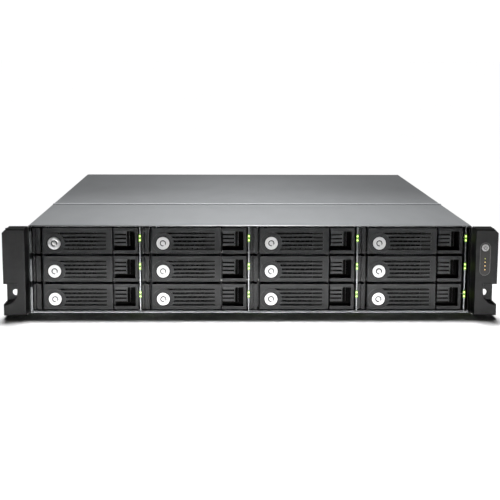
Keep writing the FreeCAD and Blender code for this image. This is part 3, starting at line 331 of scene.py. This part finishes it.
# Pieces of a power supply, in millimetres from the supply's lowest corner.
SUPPLY_HANDLE = ((32, 185, 4), (36, 211, 36))
SUPPLY_TAB = ((69, 185, 11), (72, 200, 29))
INLET_PINS = ((9, 168.5, 13.5), (25, 182.5, 20.5))
INLET = ((3.4, 166.5, 6.4), (30.6, 185.1, 27.6))
SUPPLY_BACK = 185
SUPPLY_BOARD = ((1, 2, 5), (72.5, 165.2, 31.2))
SUPPLY_PARTS_LOW = 6.5


def trays():
    """Number and lowest corner, in metres, of each tray, column by column."""
    for column in range(COLUMNS):
        for row in range(ROWS):
            number = row * COLUMNS + column + 1
            yield number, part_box(f"tray_{number:02d}")[0]


def paint(node, names, rule=None, origin=(0, 0, 0)):
    """Gives a CAD node its materials; rule(low, high) names the one for each face from the
    face's own lowest and highest corner, in millimetres from origin."""
    mesh = NODES[node].data
    mesh.materials.clear()
    for name in names:
        mesh.materials.append(M[name])
    if rule is None:
        return
    corner = Vector(origin)
    for face in mesh.polygons:
        points = [(mesh.vertices[v].co - corner) / MM for v in face.vertices]
        low = Vector([min(p[k] for p in points) for k in range(3)])
        high = Vector([max(p[k] for p in points) for k in range(3)])
        face.material_index = names.index(rule(low, high))


def within(low, high, box):
    return all(low[k] >= box[0][k] - SLACK and high[k] <= box[1][k] + SLACK for k in range(3))


def soften(node, width):
    """Small rounded edges on a CAD node, as sheet and moulded edges have."""
    obj = NODES[node]
    weld = obj.modifiers.new("weld", "WELD")
    weld.merge_threshold = 0.000002
    flat = obj.modifiers.new("flat", "DECIMATE")
    flat.decimate_type = "DISSOLVE"
    flat.angle_limit = math.radians(0.6)
    flat.delimit = {"MATERIAL"}
    bevel = obj.modifiers.new("edges", "BEVEL")
    bevel.width = width * MM
    bevel.segments = 2
    bevel.limit_method = "ANGLE"
    bevel.angle_limit = math.radians(32)
    bevel.use_clamp_overlap = True
    bevel.harden_normals = True


def dress_covers():
    """Sheet of the case: rolled lip painted darker as painted shade, step of the lid painted
    brighter as a painted highlight, front edge painted darker as painted shade.
    """
    lip_depth, seam_depth, seam_low = 1.1, 5.1, 87.5
    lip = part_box("front_cover")[0].y / MM + lip_depth
    paint("front_cover", ["cover_zinc", "lip_shade_zinc"],
          lambda low, high: "lip_shade_zinc" if high.y < lip else "cover_zinc")
    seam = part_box("rear_cover")[0].y / MM + seam_depth

    def lid_rule(low, high):
        return "seam_highlight_zinc" if high.y < seam and low.z > seam_low else "cover_zinc"

    paint("rear_cover", ["cover_zinc", "seam_highlight_zinc"], lid_rule)
    edge = FRONT + 0.05
    paint("base_pan", ["body_zinc", "edge_shade_zinc"],
          lambda low, high: "edge_shade_zinc" if high.y < edge else "body_zinc")
    for name in ("rear_panel", "slot_covers"):
        paint(name, ["body_zinc"])
    paint("case_screws", ["screw_zinc"])
    paint("drive_cage", ["cage_zinc"])


def dress_ears():
    """Brackets and caps; a cap's inner wall is painted near-black as painted shade, and its top is
    matte.
    """
    top_band = 4.2
    for side, inner_corner in (("left", 1), ("right", 0)):
        cap = corners(f"{side}_ear_cap")
        inner, top = cap[inner_corner].x, cap[1].z

        def cap_rule(low, high):
            if abs(low.x - inner) < 0.02 and abs(high.x - inner) < 0.02:
                return "wall_shade_black"
            return "cap_matte" if low.z > top - top_band else "cap_black"

        paint(f"{side}_rack_bracket", ["bracket_black"])
        paint(f"{side}_ear_cap", ["cap_black", "wall_shade_black", "cap_matte"], cap_rule)
    paint("power_button", ["button_silver"])


def dress_lamps():
    """Light pipes with lit ends, and the status panel with its lenses and board."""
    pipe_front = corners("light_pipes")[0].y

    def pipe_rule(low, high):
        if low.y < pipe_front + 0.1:
            return "lamp_green"
        return "lamp_halo" if high.y < pipe_front + 3 else "pipe_clear"

    paint("light_pipes", ["pipe_clear", "lamp_green", "lamp_halo"], pipe_rule)

    lens_front = corners("status_panel")[0].y
    lime_above, board_behind = 56, 4.5

    def panel_rule(low, high):
        size = high - low
        if max(size.x, size.z) < LENS_WIDTH and size.y < FLAT and low.y < lens_front + 0.05:
            return "lamp_lime" if low.z > lime_above else "lamp_amber"
        return "board_green" if low.y > lens_front + board_behind else "panel_gloss"

    paint("status_panel", ["panel_gloss", "lamp_lime", "lamp_amber", "board_green"],
          panel_rule)


# Latch grooves and rib sides, the recess behind the latch, faces at the bezel's back and the
# drive's front are painted near-black: painted shade.
def tray_rule(low, high):
    if within(low, high, LATCH):
        # The roll is painted lighter: painted highlight.
        if low.x > ROLL_LEFT:
            return "roll_highlight_plastic"
        groove = low.y > PAD_FLOOR - 0.1 and high.y < PAD_FLOOR + 0.1
        rib_side = high.y < PAD_FLOOR + 0.1 and high.z - low.z < 0.05
        return "recess_shade_black" if groove or rib_side else "latch_plastic"
    if within(low, high, RECESS) and high.y > 1:
        return "recess_shade_black"
    if high.y < BEZEL_BACK + 0.05:
        return "bezel_plastic" if low.y < BEZEL_BACK - 0.1 else "recess_shade_black"
    drive_front = DRIVE[0][1]
    if high.y < drive_front + 0.1 and low.y > drive_front - 0.1:
        return "recess_shade_black"
    if within(low, high, DRIVE):
        return "drive_lid" if low.z > LID_UNDERSIDE else "drive_cast"
    return "cage_zinc"


def lock_reach(low, high):
    """How far a face reaches sideways or up from the lock's axis."""
    return max(abs(low.x - LOCK_X), abs(high.x - LOCK_X),
               abs(low.z - LOCK_Z), abs(high.z - LOCK_Z))


def lever_rule(low, high):
    # The lock's bore ring is painted near-black: painted shade.
    if lock_reach(low, high) < LOCK_BORE and high.y < 9.1:
        return "recess_shade_black"
    # The slot walls and tail floors are painted dark: painted shade.
    inside = (low.x > SLOTS_LEFT and high.x < SLOTS_RIGHT
              and low.z > SLOTS_LOW and high.z < SLOTS_HIGH)
    tail_floor = low.y > 0.65 and high.y < 0.75
    slot_wall = high.z - low.z < 0.05 and low.y > -0.05 and high.y - low.y > 0.6
    if inside and high.y < 1.45 and (tail_floor or slot_wall):
        return "groove_shade_and_collar_dark"
    return "lever_plastic"


def lock_rule(low, high):
    # The keyway is painted dark: painted shade.
    in_groove = lock_reach(low, high) < KEY_REACH and low.y > -0.85 and high.y < 0.5
    return "keyway_shade_dark" if in_groove else "lock_chrome"


def dress_trays():
    for number, corner in trays():
        paint(f"tray_{number:02d}", ["bezel_plastic", "latch_plastic", "recess_shade_black",
                                     "cage_zinc", "drive_cast", "drive_lid",
                                     "roll_highlight_plastic"],
              tray_rule, corner)
        paint(f"lever_{number:02d}", ["lever_plastic", "recess_shade_black", "groove_shade_and_collar_dark"],
              lever_rule, corner)
        paint(f"lock_{number:02d}", ["lock_chrome", "keyway_shade_dark"], lock_rule, corner)


def board_rule(low, high):
    """Memory modules at the left, heat sinks ahead of the card slots, stand-offs below."""
    if low.z > 9.5:
        if high.x < -130:
            return "board_green" if low.x < -190 else "connector_black"
        return "sink_alloy" if high.y < 180 else "connector_black"
    return "brass" if high.z < 8.1 else "board_green"


def dress_inside():
    """Backplane, fan wall with its rotors, main board and power bay."""
    board_face = corners("drive_cage")[1].y - 0.1
    paint("backplane", ["board_green", "connector_black"],
          lambda low, high: "board_green" if low.y > board_face else "connector_black")
    wall_back = corners("fan_wall")[0].y + 1.25
    paint("fan_wall", ["fan_black", "body_zinc"],
          lambda low, high: "body_zinc" if high.y < wall_back else "fan_black")
    for number in (1, 2, 3):
        paint(f"fan_rotor_{number}", ["fan_black"])
    paint("main_board", ["board_green", "sink_alloy", "connector_black", "brass"], board_rule)
    bay_board = corners("power_bay")[0].y + 2.05
    paint("power_bay", ["body_zinc", "board_green"],
          lambda low, high: "board_green" if high.y < bay_board else "body_zinc")


def supply_rule(low, high):
    if within(low, high, SUPPLY_HANDLE):
        return "handle_black"
    if within(low, high, SUPPLY_TAB):
        return "tab_green"
    if within(low, high, INLET_PINS):
        return "brass"
    if within(low, high, INLET) and low.y < SUPPLY_BACK - 0.1:
        return "connector_black"
    if within(low, high, SUPPLY_BOARD):
        return "connector_black" if low.z > SUPPLY_PARTS_LOW else "board_green"
    return "supply_zinc"


def dress_back():
    """Power supplies and the sockets' shells, bright on their rear faces."""
    for number in (1, 2):
        name = f"psu_{number}"
        paint(name, ["supply_zinc", "handle_black", "tab_green", "connector_black", "brass",
                     "board_green"], supply_rule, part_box(name)[0])
    shell_face = corners("rear_ports")[1].y - 0.05

    def port_rule(low, high):
        on_face = high.y > shell_face and high.y - low.y < FLAT
        return "cage_zinc" if on_face else "connector_black"

    paint("rear_ports", ["cage_zinc", "connector_black"], port_rule)


def round_cad():
    for name in ("front_cover", "rear_cover", "base_pan"):
        soften(name, 0.25)
    for side in ("left", "right"):
        soften(f"{side}_rack_bracket", 0.3)
    for number in range(1, COLUMNS * ROWS + 1):
        soften(f"lever_{number:02d}", 0.3)
        soften(f"tray_{number:02d}", 0.3)
        soften(f"lock_{number:02d}", 0.3)
    for number in (1, 2):
        soften(f"psu_{number}", 0.3)
    soften("power_button", 0.4)


# ---------------------------------------------------------------- added pieces

def piece(name, mesh, body, place=None):
    """An added piece: mesh in metres, moved to place, riding on a body."""
    obj = bpy.data.objects.new(name, mesh)
    bpy.context.collection.objects.link(obj)
    if place is not None:
        obj.location = place
    bpy.context.view_layer.update()
    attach(obj, body)
    return obj


def mesh_from(name, build, *names):
    """Mesh that build(bm) draws, with the named materials in order."""
    bm = bmesh.new()
    build(bm)
    bmesh.ops.recalc_face_normals(bm, faces=bm.faces)
    mesh = bpy.data.meshes.new(name)
    bm.to_mesh(mesh)
    bm.free()
    for material in names:
        mesh.materials.append(M[material])
    return mesh


def built(name, build, body, slot, *names):
    piece(name, mesh_from(name, build, *names), body)


def block(bm, low, high, round_by=0.0, material=0):
    """Box between two corners in millimetres, its edges rounded."""
    made = bmesh.ops.create_cube(bm, size=1)
    verts = made["verts"]
    for v in verts:
        for k in range(3):
            v.co[k] = (low[k] if v.co[k] < 0 else high[k]) * MM
    edges = list({e for v in verts for e in v.link_edges})
    faces = {f for v in verts for f in v.link_faces}
    if round_by:
        made = bmesh.ops.bevel(bm, geom=edges, offset=round_by * MM, segments=2,
                               profile=0.5, affect="EDGES")
        faces = {f for f in faces if f.is_valid} | set(made["faces"])
    for f in faces:
        f.material_index = material


def turned(bm, profile, centre, axis, steps=24, material=0):
    """Solid of revolution; profile is (distance along axis, radius) in millimetres."""
    turn = Vector((0, 0, 1)).rotation_difference(Vector(axis)).to_matrix()
    base = Vector(centre) * MM
    rings = []
    for along, radius in profile:
        if radius == 0:
            rings.append([bm.verts.new(base + turn @ Vector((0, 0, along * MM)))])
            continue
        ring = []
        for k in range(steps):
            a = 2 * math.pi * k / steps
            spot = Vector((radius * math.cos(a), radius * math.sin(a), along)) * MM
            ring.append(bm.verts.new(base + turn @ spot))
        rings.append(ring)
    for a, b in zip(rings, rings[1:]):
        for k in range(steps):
            n = (k + 1) % steps
            around = [a[k % len(a)], a[n % len(a)], b[n % len(b)], b[k % len(b)]]
            face = bm.faces.new(list(dict.fromkeys(around)))
            face.material_index = material
            face.smooth = True


def screw_head(bm, centre, axis, radius):
    """Pan head with its cross recess drawn as two thin blocks in the second material, a near-black
    of painted shade.
    """
    rise = 0.9
    turned(bm, [(-0.3, 0), (-0.3, radius), (rise * 0.4, radius), (rise * 0.85, radius * 0.8),
                (rise, radius * 0.45), (rise, 0)], centre, axis)
    out = Vector(axis)
    side = Vector((0, 0, 1)) if abs(out.z) < 0.5 else Vector((1, 0, 0))
    other = out.cross(side)
    middle = Vector(centre)
    for along, across in ((side, other), (other, side)):
        reach = along * radius * 0.55 + across * radius * 0.12
        a = middle - reach + out * (rise - 0.1)
        b = middle + reach + out * (rise + 0.04)
        low = [min(a[k], b[k]) for k in range(3)]
        high = [max(a[k], b[k]) for k in range(3)]
        block(bm, low, high, material=1)


def islands(node):
    """Lowest and highest corner, in millimetres, of each separate solid in a CAD node."""
    mesh = NODES[node].data
    key = [tuple(round(c * 1e5) for c in v.co) for v in mesh.vertices]
    root = {}

    def find(k):
        while root.setdefault(k, k) != k:
            root[k] = root[root[k]]
            k = root[k]
        return k

    for face in mesh.polygons:
        first = find(key[face.vertices[0]])
        for v in face.vertices[1:]:
            root[find(key[v])] = first
    boxes = {}
    for index, v in enumerate(mesh.vertices):
        low, high = boxes.setdefault(find(key[index]), ([1e9] * 3, [-1e9] * 3))
        for k in range(3):
            low[k] = min(low[k], v.co[k] / MM)
            high[k] = max(high[k], v.co[k] / MM)
    found = [(Vector(low), Vector(high)) for low, high in boxes.values()]
    return sorted(found, key=lambda pair: tuple(pair[0]))


def punched_sheet():
    """Hexagonally punched sheet behind the lever's slots, drawn on the tray's corner; near-black,
    partly its black paint and partly painted shade in the slots.
    """
    pitch, hole = 5.1, 2.1
    rise = pitch * math.sqrt(3) / 2
    left, right, low, high = 30.0, 64.5, 1.6, 24.0
    y = 2.4
    corner_count = 12
    turn = 360 / corner_count

    def build(bm):
        count_z = int((high - low) / rise)
        count_x = int((right - left) / pitch)
        start_z = (low + high) / 2 - (count_z - 1) * rise / 2
        for row in range(count_z):
            z = start_z + row * rise
            for k in range(count_x + 1):
                x = left + pitch / 2 + k * pitch + (pitch / 2 if row % 2 else 0)
                if x + pitch / 2 > right + 0.1:
                    continue
                rim, ring = [], []
                for step in range(corner_count):
                    angle = math.radians(turn * step + turn)
                    reach = pitch / math.sqrt(3) if step % 2 == 0 else pitch / 2
                    for loop, radius in ((rim, reach), (ring, hole)):
                        loop.append(bm.verts.new(((x + radius * math.cos(angle)) * MM, y * MM,
                                                  (z + radius * math.sin(angle)) * MM)))
                for a in range(corner_count):
                    b = (a + 1) % corner_count
                    bm.faces.new((rim[a], rim[b], ring[b], ring[a]))
        bmesh.ops.remove_doubles(bm, verts=bm.verts, dist=0.00005)

    return mesh_from("punched_sheet", build, "mesh_paint_and_shade")


def lever_meshes():
    sheet = punched_sheet()
    for number, corner in trays():
        obj = piece(f"lever_mesh_{number:02d}", sheet, f"lever_{number:02d}",
                    corner)
        thick = obj.modifiers.new("thick", "SOLIDIFY")
        thick.thickness = 0.4 * MM
        thick.offset = 1


def pan_hem():
    """Rolled front edge of the base pan, in a paler zinc than the pan: painted highlight."""
    reach, back, rise, end_gap = 1.9, 1.2, 1.2, 0.2

    def hem(bm):
        block(bm, (-WALL + end_gap, FRONT - reach, 0), (WALL - end_gap, FRONT + back, rise), 0.35)

    built("pan_hem", hem, "chassis", "chassis_steel", "hem_highlight_zinc")


def guide_clips():
    """Dark clips on the left wall between the rows and at the top, and a strip on the right wall
    that is a painted shadow over the wall's edge; all in the near-black of painted shade.
    """
    row_lines, half = (28.8, 57.2), 2.9
    skin, depth, top = 0.05, 4, 86.2
    left_width, right_width = 2.3, 1.6

    def guides(bm):
        for line in row_lines:
            block(bm, (-WALL - skin, FRONT - 1.2, line - half),
                  (-WALL + left_width, FRONT + depth, line + half), 0.5)
        block(bm, (-WALL - skin, FRONT - 1.0, 82), (-WALL + left_width, FRONT + depth, top), 0.5)
        block(bm, (WALL - right_width, FRONT - 0.6, 2.2), (WALL + skin, FRONT + depth, top), 0.3)

    built("guide_clips", guides, "chassis", "cap_plastic", "wall_shade_black")


def power_mark():
    """Power symbol: an open ring with a bar in its gap."""
    steps, start, sweep = 14, 125, 290
    inner, outer = 1.25, 1.85
    near, far = BUTTON_LOW.y - 0.04, BUTTON_LOW.y + 0.2
    bar_half, bar_low, bar_high = 0.3, 0.4, 2.1
    sides = ((0, 1, 2, 3), (7, 6, 5, 4), (0, 4, 5, 1), (2, 6, 7, 3), (0, 3, 7, 4), (1, 5, 6, 2))

    def mark(bm):
        for k in range(steps):
            a0 = math.radians(start + sweep * k / steps)
            a1 = math.radians(start + sweep * (k + 1) / steps)
            spots = []
            for y in (near, far):
                for a, r in ((a0, inner), (a1, inner), (a1, outer), (a0, outer)):
                    spots.append(bm.verts.new(Vector((
                        BUTTON.x + r * math.cos(a), y, BUTTON.z + r * math.sin(a))) * MM))
            for quad in sides:
                bm.faces.new([spots[q] for q in quad])
        block(bm, (BUTTON.x - bar_half, near, BUTTON.z + bar_low),
              (BUTTON.x + bar_half, far, BUTTON.z + bar_high))

    built("power_mark", mark, "power_button", "panel_dark", "ink_dark")


def panel_trim():
    """Collar round each status lens, and the capsule's thin raised rim."""
    half, drop = 5.2, 27.5
    rim_low, rim_high = BUTTON.z - drop + half, BUTTON.z
    rim_width, rim_over, rim_near, rim_far = 0.45, 0.02, 0.1, 0.45
    steps = 16
    front = BUTTON_LOW.y

    def trim(bm):
        lenses = [box for box in islands("status_panel")
                  if box[1].x - box[0].x < LENS_WIDTH and box[0].y < front + 1]
        for low, high in lenses:
            centre = ((low.x + high.x) / 2, front + 0.32, (low.z + high.z) / 2)
            turned(bm, [(0, 0.62), (0, 1.2), (0.25, 1.2), (0.25, 0.7), (0, 0.62)], centre,
                   (0, -1, 0), steps=16)
        loop = []
        for k in range(2 * steps):
            a = math.pi * k / steps
            level = rim_high if k <= steps else rim_low
            loop.append((math.cos(a), math.sin(a), level))
        rings = []
        for reach, y in ((half - rim_width, rim_far), (half - rim_width, rim_near),
                         (half + rim_over, rim_near), (half + rim_over, rim_far)):
            rings.append([bm.verts.new(Vector((BUTTON.x + reach * c, front + y,
                                               level + reach * v)) * MM)
                          for c, v, level in loop])
        for a, b in zip(rings, rings[1:] + rings[:1]):
            for k in range(2 * steps):
                n = (k + 1) % (2 * steps)
                bm.faces.new([a[k], a[n], b[n], b[k]]).material_index = 1

    built("panel_trim", trim, "chassis", "panel_dark", "groove_shade_and_collar_dark", "rim_grey")


def bracket_feet():
    """Strips that close the gap between the pan's walls and the ear caps."""
    width, ahead, behind, low, high = 2, 8, 48, 0.4, 3.3

    def feet(bm):
        for side in (-1, 1):
            xs = sorted((side * WALL, side * (WALL + width)))
            block(bm, (xs[0], FRONT - ahead, low), (xs[1], FRONT + behind, high), 0.3)

    built("bracket_feet", feet, "chassis", "bracket_black", "bracket_black")


def drive_pieces():
    """Blank label, cover screws and motor ring on each drive, connector at its back."""
    label = ((24, 62, 26.55), (82, 134, 26.66))
    print_band = ((28, 66, 26.6), (78, 74, 26.69))
    ring_centre = (52.3, 42, 26.58)
    plug = ((38, 164.8, 5), (76, 165.4, 9.2))
    sled_width, fixing_rise = 104.7, 6.8

    def top(bm):
        block(bm, *label, 0.02)
        block(bm, *print_band, material=1)
        for y in (24, 80, 140):
            for x in (9, 95.7):
                turned(bm, [(0, 0), (0, 2.6), (0.1, 2.4), (0.12, 1.2), (0.02, 1.0), (0.02, 0)],
                       (x, y, 26.56), (0, 0, 1), steps=16, material=2)
        turned(bm, [(0, 15), (0.1, 15.3), (0.12, 17.4), (0, 17.8)], ring_centre, (0, 0, 1),
               steps=40, material=3)

    def sides(bm):
        for x, out in ((0, (-1, 0, 0)), (sled_width, (1, 0, 0))):
            for y in (44, 86, 146):
                turned(bm, [(-0.1, 0), (-0.1, 2.4), (0.04, 2.2), (0.04, 0.9), (-0.05, 0)],
                       (x, y, fixing_rise), out, steps=16)
        block(bm, *plug, 0.1, material=1)

    top_mesh = mesh_from("drive_top", top, "label_paper", "label_print", "screw_zinc",
                         "drive_cast")
    side_mesh = mesh_from("sled_fixings", sides, "screw_zinc", "connector_black")
    for number, corner in trays():
        tray = f"tray_{number:02d}"
        piece(f"drive_top_{number:02d}", top_mesh, tray, corner)
        piece(f"sled_fixings_{number:02d}", side_mesh, tray, corner)


# Crosses on the case screws' heads as near-black blocks: painted shade where the recesses would
# be.
def case_screw_crosses():
    long, short, proud = 1.5, 0.35, 0.03

    def crosses(bm):
        for low, high in islands("case_screws"):
            side = 1 if high.x > 0 else -1
            face = high.x if side > 0 else low.x
            y, z = (low.y + high.y) / 2, (low.z + high.z) / 2
            for tall, wide in ((long, short), (short, long)):
                block(bm, (min(face - side, face + side * proud), y - wide, z - tall),
                      (max(face - side, face + side * proud), y + wide, z + tall))

    built("case_screw_crosses", crosses, "chassis", "screw_steel", "recess_shade_black")


def rear_fixings():
    """Screws of the rear panel, and the screws and vents of the slot covers; the vents are thin
    near-black strips of painted shade, not cut.
    """
    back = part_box("rear_panel")[1].y / MM
    radius, end_x = 2.6, 212
    vent_count, vent_low, vent_pitch, vent_half, vent_tall = 11, 16, 5.2, 4.5, 2

    def rear_screws(bm):
        for x in (-end_x, -128, -40, 50, 128, end_x):
            screw_head(bm, (x, back, 84.2 if abs(x) != end_x else 80), (0, 1, 0), radius)
        for x in (-end_x, -128, -20, 128, end_x):
            screw_head(bm, (x, back, 4.4 if abs(x) != end_x else 8), (0, 1, 0), radius)

    def strip_details(bm):
        for low, high in islands("slot_covers"):
            middle = (low.x + high.x) / 2
            for k in range(vent_count):
                z = vent_low + vent_pitch * k
                block(bm, (middle - vent_half, back + 0.85, z),
                      (middle + vent_half, back + 0.94, z + vent_tall), 0.02, material=1)
            screw_head(bm, (middle + 5.4, high.y - 4, high.z), (0, 0, 1), 2.4)

    for name, build in (("rear_screws", rear_screws), ("slot_cover_details", strip_details)):
        built(name, build, "chassis", "screw_steel", "screw_zinc", "recess_shade_black")


def port_pieces():
    """Contacts, tongues and link lamps of the rear sockets."""
    sockets = islands("rear_ports")
    network_count, contact_count, contact_pitch = 4, 8, 1.2
    port_rises = (1.4, 8.8)

    def inside(bm):
        for low, high in sockets[:network_count]:
            for k in range(contact_count):
                x = low.x + 3.8 + k * contact_pitch
                block(bm, (x - 0.2, high.y - 9, high.z - 4.4),
                      (x + 0.2, high.y - 2.4, high.z - 3.9))
            for k, x in enumerate((low.x + 3.2, high.x - 3.2)):
                block(bm, (x - 1.4, high.y - 0.2, high.z - 2.4),
                      (x + 1.4, high.y + 0.12, high.z - 1), 0.1, material=1 + k)
        for low, high in sockets[network_count:]:
            for z in (low.z + rise for rise in port_rises):
                block(bm, (low.x + 2.2, high.y - 11.5, z + 2.6),
                      (high.x - 2.2, high.y - 1.2, z + 4.4), 0.15, material=3)
                for k in range(4):
                    x = low.x + 4 + k * 2
                    block(bm, (x - 0.5, high.y - 9, z + 2.45), (x + 0.5, high.y - 2, z + 2.62))

    built("port_contacts", inside, "chassis", "socket_metal", "brass", "lamp_green",
          "lamp_amber", "insert_blue")


def supply_fan(wide, tall):
    """Hub and seven leaning blades behind the supply's grille."""
    blades, lean_angle = 7, 38
    hub = Vector((wide - 21, SUPPLY_BACK - 12, tall / 2))
    outline = ((-0.5, -3.4, 5), (0.5, -3.4, 5), (0.5, 3.4, 5), (-0.5, 3.4, 5),
               (-0.5, -4, 16), (0.5, -4, 16), (0.5, 4, 16), (-0.5, 4, 16))
    sides = ((3, 2, 1, 0), (4, 5, 6, 7), (0, 1, 5, 4), (1, 2, 6, 5), (2, 3, 7, 6), (3, 0, 4, 7))

    def fan(bm):
        turned(bm, [(-2, 0), (-2, 6), (3.5, 6), (4.4, 4.6), (4.4, 0)], hub, (0, 1, 0))
        lean = Matrix.Rotation(math.radians(lean_angle), 4, "Z")
        for k in range(blades):
            turn = Matrix.Rotation(math.radians(k * 360 / blades), 4, "Y")
            verts = [bm.verts.new((turn @ (lean @ Vector(spot)) + hub) * MM)
                     for spot in outline]
            for quad in sides:
                bm.faces.new([verts[q] for q in quad])

    return mesh_from("supply_fan", fan, "fan_black")


def supply_trim(wide, tall):
    """Status lamp, screws and blank sticker, and the air holes in both sides as thin near-black
    discs of painted shade, not cut.
    """
    inset = 3
    holes_per_row, hole_pitch, first_hole = 16, 5, 90

    def trim(bm):
        turned(bm, [(-0.4, 0), (-0.4, 1.4), (0.5, 1.3), (0.8, 0.8), (0.9, 0)],
               (wide - 6, SUPPLY_BACK, tall - 5), (0, 1, 0), steps=16)
        for x, z in ((inset, tall - inset), (inset, inset), (wide - inset, inset)):
            turned(bm, [(-0.2, 0), (-0.2, 1.7), (0.4, 1.6), (0.6, 0.8), (0.6, 0)],
                   (x, SUPPLY_BACK, z), (0, 1, 0), steps=16, material=1)
        block(bm, (12, 40, tall - 0.05), (60, 112, tall + 0.08), 0.02, material=2)
        for side in (0, wide):
            for row in range(3):
                for k in range(holes_per_row):
                    y = first_hole + k * hole_pitch + (hole_pitch / 2 if row % 2 else 0)
                    turned(bm, [(-0.04, 0), (-0.04, 1.5), (0.04, 1.4), (0.04, 0)],
                           (side, y, 14 + row * hole_pitch), (1 if side else -1, 0, 0),
                           steps=8, material=3)

    return mesh_from("supply_trim", trim, "lamp_idle", "screw_zinc", "sticker", "recess_shade_black")


def supply_pieces():
    low, high = corners("psu_1")
    wide, tall = high.x - low.x, high.z - low.z
    fan_mesh, trim_mesh = supply_fan(wide, tall), supply_trim(wide, tall)
    for number in (1, 2):
        body = f"psu_{number}"
        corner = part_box(body)[0]
        piece(f"supply_fan_{number}", fan_mesh, body, corner)
        piece(f"supply_trim_{number}", trim_mesh, body, corner)


camera()
materials()
studio()

dress_covers()
dress_ears()
dress_lamps()
dress_trays()
dress_inside()
dress_back()
round_cad()

lever_meshes()
pan_hem()
guide_clips()
power_mark()
panel_trim()
bracket_feet()
drive_pieces()
case_screw_crosses()
rear_fixings()
port_pieces()
supply_pieces()
